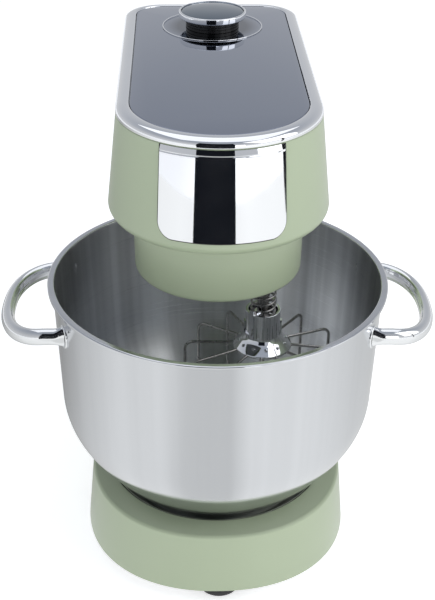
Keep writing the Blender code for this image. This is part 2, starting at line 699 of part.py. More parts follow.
def belt_outline(grow):
    """A loop round both pulleys, drawn in plan."""
    reach = MOTOR_Y - BOWL_Y
    big, small = LARGE_PULLEY_R + grow, SMALL_PULLEY_R + grow
    lean = math.degrees(math.asin((big - small) / reach))
    front = arc(big, 180 - lean, 360 + lean, 18, (0.0, BOWL_Y))
    rear = arc(small, lean, 180 - lean, 8, (0.0, MOTOR_Y))
    return front + rear


def make_belt_drive():
    place = Matrix.Translation((0, 0, BELT_Z + BELT_H / 2))
    plate("drive_belt", [belt_outline(GAP + BELT_T), belt_outline(GAP)], BELT_H, place, RUBBER)

    low, high = BELT_Z - 0.001, BELT_Z + BELT_H + 0.001
    profile = [(0.0058, high + 0.002), (0.0120, high + 0.002), (0.0120, low + 0.003), (0.0420, low + 0.003),
               (0.0420, high), (LARGE_PULLEY_R, high), (LARGE_PULLEY_R, low), (0.0058, low)]
    turned("large_pulley", profile, 28, (0, BOWL_Y, 0), NYLON)
    small = [(0.0043, high), (SMALL_PULLEY_R, high), (SMALL_PULLEY_R, low), (0.0043, low)]
    turned("motor_pulley", small, 24, (0, MOTOR_Y, 0), ALUMINIUM)
    rod("main_shaft", (0, BOWL_Y, RIM_Z + 0.0185), (0, BOWL_Y, high + 0.004), 0.0055, 20, DARK_STEEL)


MOTOR_LOW = BELT_Z + BELT_H + 0.0035     # underside of the motor's frame


def make_motor():
    frame = turned("motor_frame", [(0.0048, MOTOR_LOW + 0.003), (0.0350, MOTOR_LOW + 0.003),
                                   (0.0350, MOTOR_LOW), (0.0048, MOTOR_LOW)], 24, (0, MOTOR_Y, 0), ALUMINIUM)
    for i, degrees in enumerate((90, 210, 330)):
        x, y = arc(0.0300, degrees, degrees, 1, (0.0, MOTOR_Y))[0]
        start, end = (x, y, CHASSIS_TOP + GAP), (x, y, MOTOR_LOW + 0.001)
        join(frame, rod(f"motor_post_{i}", start, end, 0.003, 10, cutter=True))

    low, high = MOTOR_LOW + 0.0033, MOTOR_LOW + 0.0273
    teeth = []
    for i in range(12):
        middle = 30 * i
        teeth += arc(0.0222, middle - 10, middle + 10, 2)
        teeth += arc(0.0270, middle + 12, middle + 18, 1)
    place = Matrix.Translation((0, MOTOR_Y, (low + high) / 2))
    plate("motor_stator", [circle(0.0345, 32), teeth], high - low, place, DARK_STEEL)

    armature = [(0.0043, high + 0.0045), (0.0100, high + 0.0045), (0.0100, high + 0.0005), (0.0080, high),
                (0.0216, high), (0.0216, low + 0.001), (0.0043, low + 0.001)]
    turned("motor_armature", armature, 24, (0, MOTOR_Y, 0), COPPER)
    rod("motor_shaft", (0, MOTOR_Y, BELT_Z - 0.0035), (0, MOTOR_Y, high + 0.0145), 0.0040, 16, DARK_STEEL)
    for side, name in ((-1, "brush_holder_left"), (1, "brush_holder_right")):
        inner, outer = sorted((side * 0.0103, side * 0.0300))
        box(name, (inner, MOTOR_Y - 0.004, high + GAP), (outer, MOTOR_Y + 0.004, high + 0.0048), BRASS)

    hub = [(0.0043, high + 0.0130), (0.0090, high + 0.0130), (0.0090, high + 0.0055), (0.0043, high + 0.0055)]
    fan = turned("cooling_fan", hub, 12, (0, MOTOR_Y, 0), BLACK)
    disc = turned("fan_disc", [(0.0080, high + 0.0070), (0.0290, high + 0.0070), (0.0290, high + 0.0055),
                               (0.0080, high + 0.0055)], 24, (0, MOTOR_Y, 0), cutter=True)
    join(fan, disc)
    for i in range(8):
        root, tip = (0.0085, -0.0006, high + 0.0060), (0.0285, 0.0006, high + 0.0125)
        blade = box(f"fan_blade_{i}", root, tip, cutter=True)
        blade.matrix_world = Matrix.Translation((0, MOTOR_Y, 0)) @ Matrix.Rotation(math.pi / 4 * i, 4, "Z")
        join(fan, blade)


def make_controls():
    """The speed switch under the glass and the board behind the motor."""
    top = HEAD_TOP - 0.0005
    body = [(0.0042, top), (0.0130, top), (0.0130, top - 0.016), (0.0042, top - 0.016)]
    turned("speed_switch", body, 24, (0, KNOB_Y, 0), BLACK)
    low = CHASSIS_TOP + 0.006
    board = box("control_board", (-0.045, 0.100, low), (0.045, 0.145, low + 0.0016), BOARD)
    blocks = [(-0.030, 0.110, 0.014, 0.010), (0.010, 0.108, 0.018, 0.016), (-0.006, 0.128, 0.010, 0.008),
              (0.030, 0.126, 0.010, 0.012)]
    for i, (x, y, size, tall) in enumerate(blocks):
        top_z = CHASSIS_TOP + 0.007
        part = box(f"component_{i}", (x, y, top_z), (x + size, y + size, top_z + tall), cutter=True)
        join(board, part)


def make_knob():
    low = GLASS_TOP + GAP
    ring = [(0.0424, low + 0.0006), (0.0436, low + 0.0006), (0.0436, low), (0.0424, low)]
    turned("knob_trim_ring", ring, 32, (0, KNOB_Y, 0), CHROME)

    disc = GLASS_TOP + KNOB_LIFT
    neck = [(0.0, disc - GAP), (0.0232, disc - GAP), (0.0232, low), (0.0036, low), (0.0036, HEAD_TOP - 0.012),
            (0.0, HEAD_TOP - 0.012)]
    turned("knob_neck", neck, 24, (0, KNOB_Y, 0), BLACK, closed=False)
    rim = [(KNOB_R - 0.0018, disc + 0.0052), (KNOB_R - 0.0004, disc + 0.0052), (KNOB_R, disc + 0.0042),
           (KNOB_R, disc + 0.0010), (KNOB_R - 0.0010, disc), (KNOB_R - 0.0018, disc)]
    turned("knob_rim", rim, 28, (0, KNOB_Y, 0), CHROME)
    edge = KNOB_R - 0.0018 - GAP
    cap = [(0.0, disc + 0.0063), (0.010, disc + 0.0061), (0.018, disc + 0.0056),
           (edge - 0.001, disc + 0.0047), (edge, disc + 0.0040), (edge, disc), (0.0, disc)]
    turned("knob_cap", cap, 28, (0, KNOB_Y, 0), GREY_GLASS, closed=False)


# ---- planetary drive and whisk ------------------------------------------------------------------


def make_carrier():
    """The disc that carries the whisk shaft round, with an arm above the pinion."""
    low = COLLAR_BOTTOM + 0.0007
    disc_top = low + 0.006
    arm_low, arm_high = GEAR_TOP + 0.0035, GEAR_TOP + 0.0095
    hub_top = CHASSIS_BOTTOM - 0.0065
    profile = [(0.0, disc_top - 0.001), (0.0058, disc_top - 0.001), (0.0058, hub_top), (0.0100, hub_top),
               (0.0100, disc_top), (0.0605, disc_top), (0.0605, low), (0.0, low)]
    carrier = turned("planet_carrier", profile, 28, (0, BOWL_Y, 0), ALUMINIUM, closed=False)
    boss = rod("arm_boss", (ORBIT, BOWL_Y, arm_low), (ORBIT, BOWL_Y, arm_high), 0.0085, 20, cutter=True)
    arm = box("arm", (0.0075, BOWL_Y - 0.006, arm_low), (ORBIT, BOWL_Y + 0.006, arm_high), cutter=True)
    start, end = (ORBIT, BOWL_Y, low - 0.01), (ORBIT, BOWL_Y, disc_top + 0.01)
    seat = rod("bearing_seat", start, end, 0.0103, 20, cutter=True)
    start, end = (ORBIT, BOWL_Y, arm_low - 0.002), (ORBIT, BOWL_Y, arm_high + 0.01)
    top = rod("arm_hole", start, end, 0.0043, 16, cutter=True)
    join(carrier, boss, arm)
    cut(carrier, seat, top)
    ring = [(0.0053, disc_top), (0.0100, disc_top), (0.0100, low), (0.0053, low)]
    turned("planet_bearing", ring, 16, (ORBIT, BOWL_Y, 0), BRASS)


PIN_Z = RIM_Z - 0.0445      # cross pin that drives the whisk


def make_planet_shaft():
    pinion = gear_outline(PINION_TEETH, 0.0013, -0.0015, -BACKLASH / 2, flank=2, phase=0.5)
    place = Matrix.Translation((ORBIT, BOWL_Y, (GEAR_BOTTOM + GEAR_TOP) / 2))
    plate("planet_pinion", [pinion, circle(0.0053, 16)], GEAR_TOP - GEAR_BOTTOM, place, NYLON)
    top = GEAR_TOP + 0.009
    flange = COLLAR_BOTTOM - 0.001
    profile = [(0.0, top), (0.0040, top), (0.0040, GEAR_TOP + 0.001), (0.0050, GEAR_TOP + 0.001),
               (0.0050, flange), (0.0085, flange), (0.0085, flange - 0.0025), (0.0050, flange - 0.0025),
               (0.0050, PIN_Z - 0.0030), (0.0, PIN_Z - 0.0035)]
    shaft = turned("whisk_shaft", profile, 14, (ORBIT, BOWL_Y, 0), STEEL, closed=False)
    start, end = (ORBIT - 0.0142, BOWL_Y, PIN_Z), (ORBIT + 0.0142, BOWL_Y, PIN_Z)
    pin = rod("drive_pin", start, end, 0.0015, 10, cutter=True)
    join(shaft, pin)


SPRING_TOP = COLLAR_BOTTOM - 0.0037
SPRING_SEAT = PIN_Z + 0.0040     # ledge in the whisk's hub
SPRING_TURNS = 8


def make_whisk_spring():
    per_turn = 8
    wire_radius = 0.0010
    low, high = SPRING_SEAT + GAP + wire_radius, SPRING_TOP - wire_radius
    points = []
    for i in range(SPRING_TURNS * per_turn + 1):
        angle = 2 * math.pi * i / per_turn
        height = mix(low, high, i / (SPRING_TURNS * per_turn))
        points.append((ORBIT + 0.0098 * math.cos(angle), BOWL_Y + 0.0098 * math.sin(angle), height))
    wire("whisk_spring", points, wire_radius, STEEL, sides=0)


def make_whisk():
    """The hub: a tube with two hooked slots for the drive pin, on a cone that takes the wires."""
    cone_top = HUB_BOTTOM + 0.0115
    floor = HUB_BOTTOM + 0.0040
    profile = [(0.0, floor), (0.0056, floor), (0.0056, SPRING_SEAT), (0.0122, SPRING_SEAT),
               (0.0122, HUB_TOP), (HUB_R, HUB_TOP), (HUB_R, cone_top), (0.0170, cone_top - 0.0035),
               (CONE_R, HUB_BOTTOM + 0.0010), (CONE_R, HUB_BOTTOM), (CONE_R - 0.0020, HUB_BOTTOM - 0.0015),
               (0.0, HUB_BOTTOM - 0.0015)]
    hub = turned("whisk_hub", profile, 20, (ORBIT, BOWL_Y, 0), CHROME, closed=False)
    low = PIN_Z - 0.0105
    slots = [(0, low, PIN_Z + 0.0020)] + [(turn, low, low + 0.0036) for turn in (16, 32)]
    slots.append((48, low, HUB_TOP + 0.004))
    for degrees, start, end in slots:
        slot = box(f"pin_slot_{degrees}", (-0.0155, -0.0021, start), (0.0155, 0.0021, end), cutter=True)
        spin = Matrix.Rotation(math.radians(degrees), 4, "Z")
        slot.matrix_world = Matrix.Translation((ORBIT, BOWL_Y, 0)) @ spin
        cut(hub, slot)

    for i in range(WIRE_LOOPS):
        wire(f"whisk_wire_{i + 1}", whisk_loop(i), WIRE_R, STEEL)


def whisk_loop(index):
    """One wire loop: out of the cone, over a bend, straight down and round the bottom of the cage."""
    bottom = RIM_Z - 0.1535 + 0.0025 * index
    start_z = HUB_BOTTOM + 0.0005
    top_z = start_z - 0.0015
    bend = 0.007
    side_end = RIM_Z - 0.110
    half = [(CONE_R + 0.0006, start_z), (CAGE_R - bend, top_z)]
    half += arc(bend, 60, 0, 2, (CAGE_R - bend, top_z - bend))
    for i in range(6):
        angle = math.radians(90 * i / 6)
        drop = (side_end - bottom) * math.sin(angle) ** 0.9
        half.append((CAGE_R * math.cos(angle) ** 0.9, side_end - drop))
    path = half + [(0.0, bottom)] + [(-r, z) for r, z in half[::-1]]
    heading = math.radians(180 * index / WIRE_LOOPS - 6)
    return [(ORBIT + r * math.cos(heading), BOWL_Y + r * math.sin(heading), z) for r, z in path]


# ---- build --------------------------------------------------------------------------------------

make_base()
make_bowl_seat()
make_column()
make_column_frame()
make_release()
make_head_shell()
make_bezel()
make_glass()
make_front_plate()
make_collar()
make_chassis()
make_gearbox()
make_belt_drive()
make_motor()
make_controls()
make_knob()
make_carrier()
make_planet_shaft()
make_whisk_spring()
make_whisk()
make_bowl()

# ---- joint axes ---------------------------------------------------------------------------------

HEAD_PIECES = ("head_shell", "chrome_bezel", "glass_top_panel", "front_plate", "drive_collar",
               "chassis_plate", "gear_housing", "ring_gear", "main_bearing", "drive_belt", "motor_frame",
               "motor_stator", "brush_holder_left", "brush_holder_right", "control_board", "speed_switch",
               "knob_trim_ring")
RELEASE_PIECES = ("release_lever", "head_latch")
BOWL_PIECES = ("bowl_shell", "bowl_foot_ring", "bowl_handle_left", "bowl_handle_right")
WHISK_WIRES = tuple(f"whisk_wire_{i + 1}" for i in range(WIRE_LOOPS))
WHISK_PIECES = ("whisk_shaft", "planet_pinion", "whisk_spring", "whisk_hub") + WHISK_WIRES


def hang(name, place, pieces):
    """Hangs moving pieces from an empty that stands on their joint's axis."""
    pivot = bpy.data.objects.new(name, None)
    pivot.location = place
    PARTS.objects.link(pivot)
    for piece in pieces:
        thing = PARTS.objects[piece]
        thing.parent = pivot
        thing.matrix_parent_inverse = Matrix.Translation(place).inverted()


hang("head_pivot", (0, HINGE_Y, HINGE_Z), HEAD_PIECES)
hang("release_pivot", (0, LATCH_Y, LATCH_Z), RELEASE_PIECES)
hang("bowl_pivot", (0, BOWL_Y, BASE_TOP), BOWL_PIECES)
hang("knob_pivot", (0, KNOB_Y, GLASS_TOP), ("knob_cap", "knob_rim", "knob_neck"))
hang("motor_pivot", (0, MOTOR_Y, BELT_Z), ("motor_armature", "motor_shaft", "cooling_fan", "motor_pulley"))
hang("drive_pivot", (0, BOWL_Y, BELT_Z), ("planet_carrier", "planet_bearing", "main_shaft", "large_pulley"))
hang("whisk_pivot", (ORBIT, BOWL_Y, PIN_Z), WHISK_PIECES)
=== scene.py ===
"""Looks of the stand mixer: fine meshes for the pieces that show, procedural materials for every
piece, a plain pale studio and the camera. Metres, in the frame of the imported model."""

from math import cos, degrees, hypot, pi, radians, sin, sqrt

import bmesh
import bpy
from mathutils import Matrix, Vector


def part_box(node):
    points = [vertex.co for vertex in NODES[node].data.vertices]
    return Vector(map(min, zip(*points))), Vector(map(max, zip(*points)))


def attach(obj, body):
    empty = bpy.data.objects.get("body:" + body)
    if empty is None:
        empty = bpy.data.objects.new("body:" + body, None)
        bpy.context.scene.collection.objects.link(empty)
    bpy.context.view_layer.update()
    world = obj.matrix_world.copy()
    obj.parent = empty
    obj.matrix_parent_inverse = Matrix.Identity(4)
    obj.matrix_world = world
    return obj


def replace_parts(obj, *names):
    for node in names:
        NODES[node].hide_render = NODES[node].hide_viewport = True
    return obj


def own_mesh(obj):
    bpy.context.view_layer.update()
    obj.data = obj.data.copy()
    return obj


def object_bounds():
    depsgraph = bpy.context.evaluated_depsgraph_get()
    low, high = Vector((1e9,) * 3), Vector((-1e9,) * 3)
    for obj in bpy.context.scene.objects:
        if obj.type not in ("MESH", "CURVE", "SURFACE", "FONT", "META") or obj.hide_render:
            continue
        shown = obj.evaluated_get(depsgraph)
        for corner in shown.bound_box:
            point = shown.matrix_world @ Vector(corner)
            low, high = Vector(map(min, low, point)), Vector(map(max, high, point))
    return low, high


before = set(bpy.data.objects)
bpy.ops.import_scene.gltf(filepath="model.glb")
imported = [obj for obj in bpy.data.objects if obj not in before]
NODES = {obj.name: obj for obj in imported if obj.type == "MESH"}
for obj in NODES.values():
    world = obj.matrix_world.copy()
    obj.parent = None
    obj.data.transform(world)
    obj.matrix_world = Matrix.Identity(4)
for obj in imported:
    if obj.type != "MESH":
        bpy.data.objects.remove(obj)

CAD_LOW, CAD_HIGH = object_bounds()
FLOOR_Z = CAD_LOW.z

# ---- places read from the frame

bowl_low, bowl_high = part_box("bowl_shell")
AXIS_Y = (bowl_low.y + bowl_high.y) / 2
RIM_Z = bowl_high.z
RIM_R = bowl_high.x
BOWL_DEPTH = bowl_high.z - bowl_low.z
hub_low, hub_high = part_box("whisk_hub")
WHISK_X = (hub_low.x + hub_high.x) / 2
CONE_R = (hub_high.x - hub_low.x) / 2
HUB_TOP = hub_high.z
head_low, head_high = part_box("head_shell")
HEAD_BOTTOM, HEAD_TOP = head_low.z, head_high.z
glass_low, glass_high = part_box("glass_top_panel")
GLASS_TOP = glass_high.z
collar_low, collar_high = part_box("drive_collar")
base_low, base_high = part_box("base_housing")
column_low, column_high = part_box("column_shell")
trim_low, trim_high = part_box("knob_trim_ring")
KNOB_Y = (trim_low.y + trim_high.y) / 2
pin_low, pin_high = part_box("hinge_pin")
HINGE_Y = (pin_low.y + pin_high.y) / 2
HINGE_Z = (pin_low.z + pin_high.z) / 2
GAP = 0.0003
AXIS = (0, AXIS_Y)         # upright axes: the bowl and the drive, the whisk, the knob
WHISK = (WHISK_X, AXIS_Y)
KNOB = (0, KNOB_Y)

# ---- materials


def feed(tree, node, inputs):
    """Gives a node's inputs a number, a colour, a vector or another node's output."""
    for name, value in inputs.items():
        socket = node.inputs[name]
        if isinstance(value, bpy.types.NodeSocket):
            tree.links.new(value, socket)
        else:
            socket.default_value = value


def add_node(tree, kind, inputs, **settings):
    """Adds a node and returns its outputs."""
    made = tree.nodes.new("ShaderNode" + kind)
    for name, value in settings.items():
        setattr(made, name, value)
    feed(tree, made, inputs)
    return made.outputs


class Paint:
    """A material under construction: a Principled shader and short calls that add nodes to it."""

    def __init__(self, name, colour, roughness, metallic=0, **sockets):
        self.material = bpy.data.materials.new(name)
        self.material.use_nodes = True
        self.tree = self.material.node_tree
        self.colour = colour
        self.set(Base_Color=(*colour, 1), Roughness=roughness, Metallic=metallic, **sockets)
        self.place = self.node("TexCoord", {})["Object"]

    def set(self, **sockets):
        """Feeds the shader's own sockets."""
        inputs = {name.replace("_", " "): value for name, value in sockets.items()}
        feed(self.tree, self.tree.nodes["Principled BSDF"], inputs)

    def node(self, kind, inputs, **settings):
        return add_node(self.tree, kind, inputs, **settings)

    def noise(self, scale, detail=3, vector=None, rough=0.5):
        inputs = {"Scale": scale, "Detail": detail, "Roughness": rough, "Vector": vector or self.place}
        return self.node("TexNoise", inputs)["Fac"]

    def spread(self, value, low, high, start=0.3, end=0.7):
        """Maps a pattern from its usual range to another."""
        inputs = {"From Min": start, "From Max": end, "To Min": low, "To Max": high, "Value": value}
        return self.node("MapRange", inputs)["Result"]

    def tint(self, value, first, second):
        """Colours the surface from one colour to another by a pattern."""
        inputs = {"Factor": value, "A": (*first, 1), "B": (*second, 1)}
        self.set(Base_Color=self.node("Mix", inputs, data_type="RGBA")["Result"])

    def shade(self, value, amount):
        """Lightens and darkens the base colour a little by a pattern."""
        dark = [c * (1 - amount) for c in self.colour]
        light = [min(c * (1 + amount), 1) for c in self.colour]
        self.tint(value, dark, light)

    def rough(self, value, low, high):
        self.set(Roughness=self.spread(value, low, high))

    def bump(self, value, height, strength=1):
        """Raises the surface by a pattern, height in metres."""
        inputs = {"Distance": height, "Strength": strength, "Height": value}
        self.set(Normal=self.node("Bump", inputs)["Normal"])

    def brushed_round(self, amount):
        """Makes the highlight of metal brushed round its own Z axis: long across the brush lines."""
        tangent = self.node("Tangent", {}, direction_type="RADIAL", axis="Z")["Tangent"]
        self.set(Tangent=tangent, Anisotropic=amount, Anisotropic_Rotation=0.25)

    def number(self, operation, *values):
        return self.node("Math", dict(enumerate(values)), operation=operation)["Value"]

    def vector(self, operation, *values):
        return self.node("VectorMath", dict(enumerate(values)), operation=operation)

    def split(self, place):
        return self.node("SeparateXYZ", {"Vector": place})

    def centred(self, centre_x, centre_y):
        """The surface's place measured from an upright axis."""
        return self.node("Mapping", {"Location": (-centre_x, -centre_y, 0), "Vector": self.place})["Vector"]

    def flat(self, place):
        """A place with its height left out."""
        return self.vector("MULTIPLY", place, (1, 1, 0))["Vector"]

    def around(self, centre_x, centre_y):
        """The direction out from an upright axis, the same at every height."""
        return self.vector("NORMALIZE", self.flat(self.centred(centre_x, centre_y)))["Vector"]

    def turned_lines(self, centre_x, centre_y, density):
        """A place for noise in fine rings round an upright axis, for brushed and turned metal."""
        place = self.centred(centre_x, centre_y)
        parts = self.split(place)
        radius = self.vector("LENGTH", self.flat(place))["Value"]
        fine = self.number("MULTIPLY", self.number("ADD", radius, parts["Z"]), density)
        return self.node("CombineXYZ", {"X": parts["X"], "Y": parts["Y"], "Z": fine})["Vector"]


def surface(name, colour, rough, shade, relief=None, metallic=0, **sockets):
    """A material whose roughness, shade and relief each follow a noise of their own.

    rough is its scale, detail, lowest and highest roughness, shade its scale, detail and amount, and
    relief its scale, detail, height and strength."""
    paint = Paint(name, colour, rough[2], metallic, **sockets)
    paint.rough(paint.noise(*rough[:2]), *rough[2:])
    paint.shade(paint.noise(*shade[:2]), shade[2])
    if relief:
        paint.bump(paint.noise(*relief[:2]), *relief[2:])
    return paint.material


def bowl_steel(name, colour, low, high, amount, streaks):
    """Stainless steel brushed round the bowl's axis, with upright streaks of polish."""
    paint = Paint(name, colour, low, 1)
    lines = paint.noise(1, 6, paint.turned_lines(*AXIS, 2600), 0.65)
    cloud = paint.noise(18, 3)
    paint.rough(lines, low, high)
    upright = paint.noise(4, 3, paint.around(*AXIS), 0.6)
    inputs = {"Factor": 0.2, "A": paint.spread(upright, 0, 1, 0.36, 0.64), "B": cloud}
    paint.shade(paint.node("Mix", inputs, data_type="FLOAT")["Result"], streaks)
    paint.bump(lines, 0.000003, 0.18)
    paint.brushed_round(amount)
    return paint.material


def polished_steel(name):
    """Polished steel tube with faint drawing lines."""
    paint = Paint(name, (0.8, 0.81, 0.82), 0.08, 1)
    paint.rough(paint.noise(120, 5), 0.06, 0.11)
    paint.shade(paint.noise(35, 3), 0.02)
    stretched = paint.node("Mapping", {"Scale": (400, 60, 1600), "Vector": paint.place})["Vector"]
    paint.bump(paint.noise(1, 4, stretched), 0.000004, 0.3)
    return paint.material


def grey_glass(name, colour, dark=None):
    """Dark half-mirrored glass, with a painted dark reflection of the knob: darker by a factor round the
    knob.
    """
    paint = Paint(name, colour, 0.03, 1, Coat_Weight=0.3, Coat_Roughness=0.02)
    paint.rough(paint.noise(30, 6), 0.022, 0.045)
    # Painted reflection: the base colour is darkened near the knob's axis to stand for the knob's dark
    # reflection in the glass.
    if dark:
        away = paint.vector("DISTANCE", paint.flat(paint.place), (0, KNOB_Y, 0))["Value"]
        paint.tint(paint.spread(away, 0, 1, *PAINTED_REFLECTION_RING), [c * dark for c in colour], colour)
    return paint.material


def moulded(name, colour, low, high, grain=1600, depth=0.00001):
    """Moulded plastic or rubber with a fine spark texture."""
    return surface(name, colour, (200, 4, low, high), (50, 3, 0.1), (grain, 2, depth, 0.5))


def machined(name, colour, centre, low, high):
    """Turned or ground metal with fine tool lines round an axis."""
    paint = Paint(name, colour, low, 1)
    lines = paint.noise(1, 4, paint.turned_lines(*centre, 3000), 0.6)
    paint.rough(lines, low, high)
    paint.shade(paint.noise(60, 4), 0.06)
    paint.bump(lines, 0.000008, 0.4)
    return paint.material


def layered(name, colour, roughness, wave_type, scale, distortion, shade, depth, strength, **sockets):
    """Metal wound or stacked in fine layers along its own height."""
    paint = Paint(name, colour, roughness, 1, **sockets)
    inputs = {"Scale": scale, "Distortion": distortion, "Vector": paint.place}
    wave = paint.node("TexWave", inputs, wave_type=wave_type, rings_direction="Z", bands_direction="Z")
    paint.shade(wave["Fac"], shade)
    paint.bump(wave["Fac"], depth, strength)
    return paint.material


def board_material(name):
    """Solder-masked circuit board: lighter tracks on a darker ground."""
    paint = Paint(name, (0.02, 0.16, 0.07), 0.3, Coat_Weight=0.4, Coat_Roughness=0.1)
    brick = paint.node("TexBrick", {
        "Scale": 90, "Mortar Size": 0.03, "Mortar": (0.05, 0.28, 0.12, 1),
        "Color1": (0.015, 0.12, 0.05, 1), "Color2": (0.02, 0.16, 0.07, 1), "Vector": paint.place,
    })
    paint.set(Base_Color=brick["Color"])
    paint.bump(brick["Fac"], 0.00005, 0.4)
    return paint.material


PAINTED_REFLECTION_RING = (0.03, 0.0425)          # distances from the knob's axis where its dark reflection fades

GREEN = surface("sage_paint", (0.382, 0.446, 0.304), (45, 4, 0.29, 0.36), (9, 4, 0.02),
                (900, 2, 0.00001, 0.5), IOR=1.48, Coat_Weight=0.25, Coat_Roughness=0.18)
CHROME = surface("chrome_plate", (0.86, 0.87, 0.89), (60, 5, 0.025, 0.055), (25, 2, 0.012),
                 metallic=1)
BOWL_OUT = bowl_steel("satin_steel", (0.63, 0.64, 0.66), 0.09, 0.15, 0.6, 0.04)
BOWL_IN = bowl_steel("brushed_steel", (0.74, 0.75, 0.76), 0.26, 0.32, 0.8, 0.3)
POLISHED = polished_steel("polished_tube")
WIRE = surface("drawn_wire", (0.4, 0.39, 0.38), (260, 4, 0.18, 0.32), (90, 3, 0.08),
               (1500, 3, 0.00001, 0.3), metallic=1)
# 0.35 sets the painted dark reflection round the knob.
GLASS = grey_glass("grey_mirror_glass", (0.322, 0.352, 0.424), 0.35)
CAP_GREY = grey_glass("grey_mirror_cap", (0.196, 0.235, 0.28))
BLACK = moulded("black_gloss_plastic", (0.012, 0.012, 0.013), 0.16, 0.26)
DULL_BLACK = moulded("black_dull_plastic", (0.018, 0.018, 0.019), 0.45, 0.6, 1400, 0.00003)
RUBBER = moulded("black_rubber", (0.02, 0.02, 0.021), 0.62, 0.8, 900, 0.00008)
NYLON = moulded("white_nylon", (0.74, 0.72, 0.66), 0.38, 0.5)
STEEL = machined("ground_steel", (0.5, 0.5, 0.52), WHISK, 0.25, 0.42)
DISC_METAL = machined("turned_alloy", (0.62, 0.63, 0.65), AXIS, 0.3, 0.45)
BLACKENED = machined("blackened_steel", (0.4, 0.42, 0.36), AXIS, 0.35, 0.5)
BRASS = machined("turned_bronze", (0.6, 0.42, 0.18), (0, HINGE_Y), 0.25, 0.4)
ALLOY = surface("die_cast_alloy", (0.5, 0.51, 0.53), (300, 4, 0.42, 0.62), (70, 5, 0.1),
                (1100, 4, 0.00004, 0.6), metallic=1)
COPPER = layered("copper_windings", (0.62, 0.27, 0.12), 0.28, "RINGS", 420, 1.5, 0.25, 0.00015, 0.6,
                 Coat_Weight=0.5, Coat_Roughness=0.15)
SHEETS = layered("steel_laminations", (0.32, 0.33, 0.36), 0.4, "BANDS", 600, 0, 0.2, 0.0001, 0.5)
BOARD = board_material("circuit_board")

# ---- mesh helpers


def placed(name, data):
    """A new object in the scene."""
    thing = bpy.data.objects.new(name, data)
    bpy.context.scene.collection.objects.link(thing)
    return thing


def piece(name, mesh, body, slot, *materials):
    """A finished piece that rides on a body."""
    thing = placed(name, mesh)
    mesh.name = name
    mesh.materials.clear()
    for material in materials:
        mesh.materials.append(material)
    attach(thing, body)
    return thing


def mesh_of(shape, angle=35):
    mesh = bpy.data.meshes.new("mesh")
    bmesh.ops.recalc_face_normals(shape, faces=shape.faces)
    shape.to_mesh(mesh)
    shape.free()
    mesh.shade_smooth()
    mesh.set_sharp_from_angle(angle=radians(angle))
    return mesh


def loft(rings, closed=False, angle=35):
    """Joins equal rings of points into one skin, capped unless the section is closed."""
    shape = bmesh.new()
    rows = [[shape.verts.new(point) for point in ring] for ring in rings]
    count = len(rows[0])
    pairs = list(zip(rows, rows[1:]))
    if closed:
        pairs.append((rows[-1], rows[0]))
    for lower, upper in pairs:
        for i in range(count):
            j = (i + 1) % count
            shape.faces.new((lower[i], lower[j], upper[j], upper[i]))
    if not closed:
        shape.faces.new(rows[0])
        shape.faces.new(rows[-1])
    return mesh_of(shape, angle)


def turned(profile, centre=(0, 0), steps=128, closed=False, angle=35):
    """A turned mesh. An open profile starts and ends on the axis."""
    shape = bmesh.new()
    rows = []
    for radius, height in profile:
        if radius < 1e-7:
            rows.append([shape.verts.new((centre[0], centre[1], height))])
            continue
        ring = [(centre[0] + x, centre[1] + y, height) for x, y in round_section(radius, steps)]
        rows.append([shape.verts.new(point) for point in ring])
    pairs = list(zip(rows, rows[1:]))
    if closed:
        pairs.append((rows[-1], rows[0]))
    for first, second in pairs:
        for i in range(steps):
            j = (i + 1) % steps
            corners = [first[i % len(first)], first[j % len(first)]]
            corners += [second[j % len(second)], second[i % len(second)]]
            corners = [c for k, c in enumerate(corners) if c not in corners[:k]]
            if len(corners) > 2:
                shape.faces.new(corners)
    return mesh_of(shape, angle)


def soften(points, cuts, steps=5):
    """An open outline whose corners are rounded, each cut back by its own distance."""
    made = []
    last = len(points) - 1
    for i, (point, size) in enumerate(zip(points, cuts)):
        corner = Vector(point)
        if size == 0 or i in (0, last):
            made.append(tuple(corner))
            continue
        start = corner + (Vector(points[i - 1]) - corner).normalized() * size
        end = corner + (Vector(points[i + 1]) - corner).normalized() * size
        for k in range(steps + 1):
            t = k / steps
            made.append(tuple(start * (1 - t) ** 2 + corner * 2 * t * (1 - t) + end * t * t))
    return made


def circle(sides):
    return [2 * pi * i / sides for i in range(sides)]


def quarter(steps):
    """Angles from 0 to 90 degrees."""
    return [radians(90 * i / steps) for i in range(steps + 1)]


def round_section(radius, sides):
    return [(radius * cos(a), radius * sin(a)) for a in circle(sides)]


def tube(path, radius, sides=16, closed=False):
    """A round section carried along a path."""
    points = [Vector(p) for p in path]
    count = len(points)
    section = round_section(radius, sides)
    rings = []
    normal = None
    for i, point in enumerate(points):
        ahead = points[(i + 1) % count] if closed or i + 1 < count else point
        behind = points[i - 1] if closed or i > 0 else point
        along = (ahead - behind).normalized()
        if normal is None:
            normal = along.orthogonal().normalized()
        normal = (normal - along * normal.dot(along)).normalized()
        side = along.cross(normal)
        rings.append([point + normal * u + side * v for u, v in section])
    return loft(rings, closed, 50)


def box_mesh(low, high, edge=0, steps=3):
    """A block with rounded edges."""
    shape = bmesh.new()
    size = Vector(high) - Vector(low)
    middle = (Vector(high) + Vector(low)) / 2
    bmesh.ops.create_cube(shape, size=1, matrix=Matrix.Translation(middle) @ Matrix.Diagonal((*size, 1)))
    if edge:
        bmesh.ops.bevel(shape, geom=shape.edges[:], offset=edge, segments=steps, profile=0.5, affect="EDGES")
    return mesh_of(shape)


def rod_mesh(start, end, radius, steps=64, edge=0):
    """A round bar between two points, with its two end edges rounded."""
    start, end = Vector(start), Vector(end)
    along = end - start
    length = along.length
    profile = soften([(0, 0), (radius, 0), (radius, length), (0, length)], [0, edge, edge, 0], 3)
    mesh = turned(profile, steps=steps)
    mesh.transform(Matrix.Translation(start) @ along.to_track_quat("Z", "Y").to_matrix().to_4x4())
    return mesh


def post_mesh(centre, low, high, radius, steps):
    """An upright round bar."""
    return rod_mesh((*centre, low), (*centre, high), radius, steps)


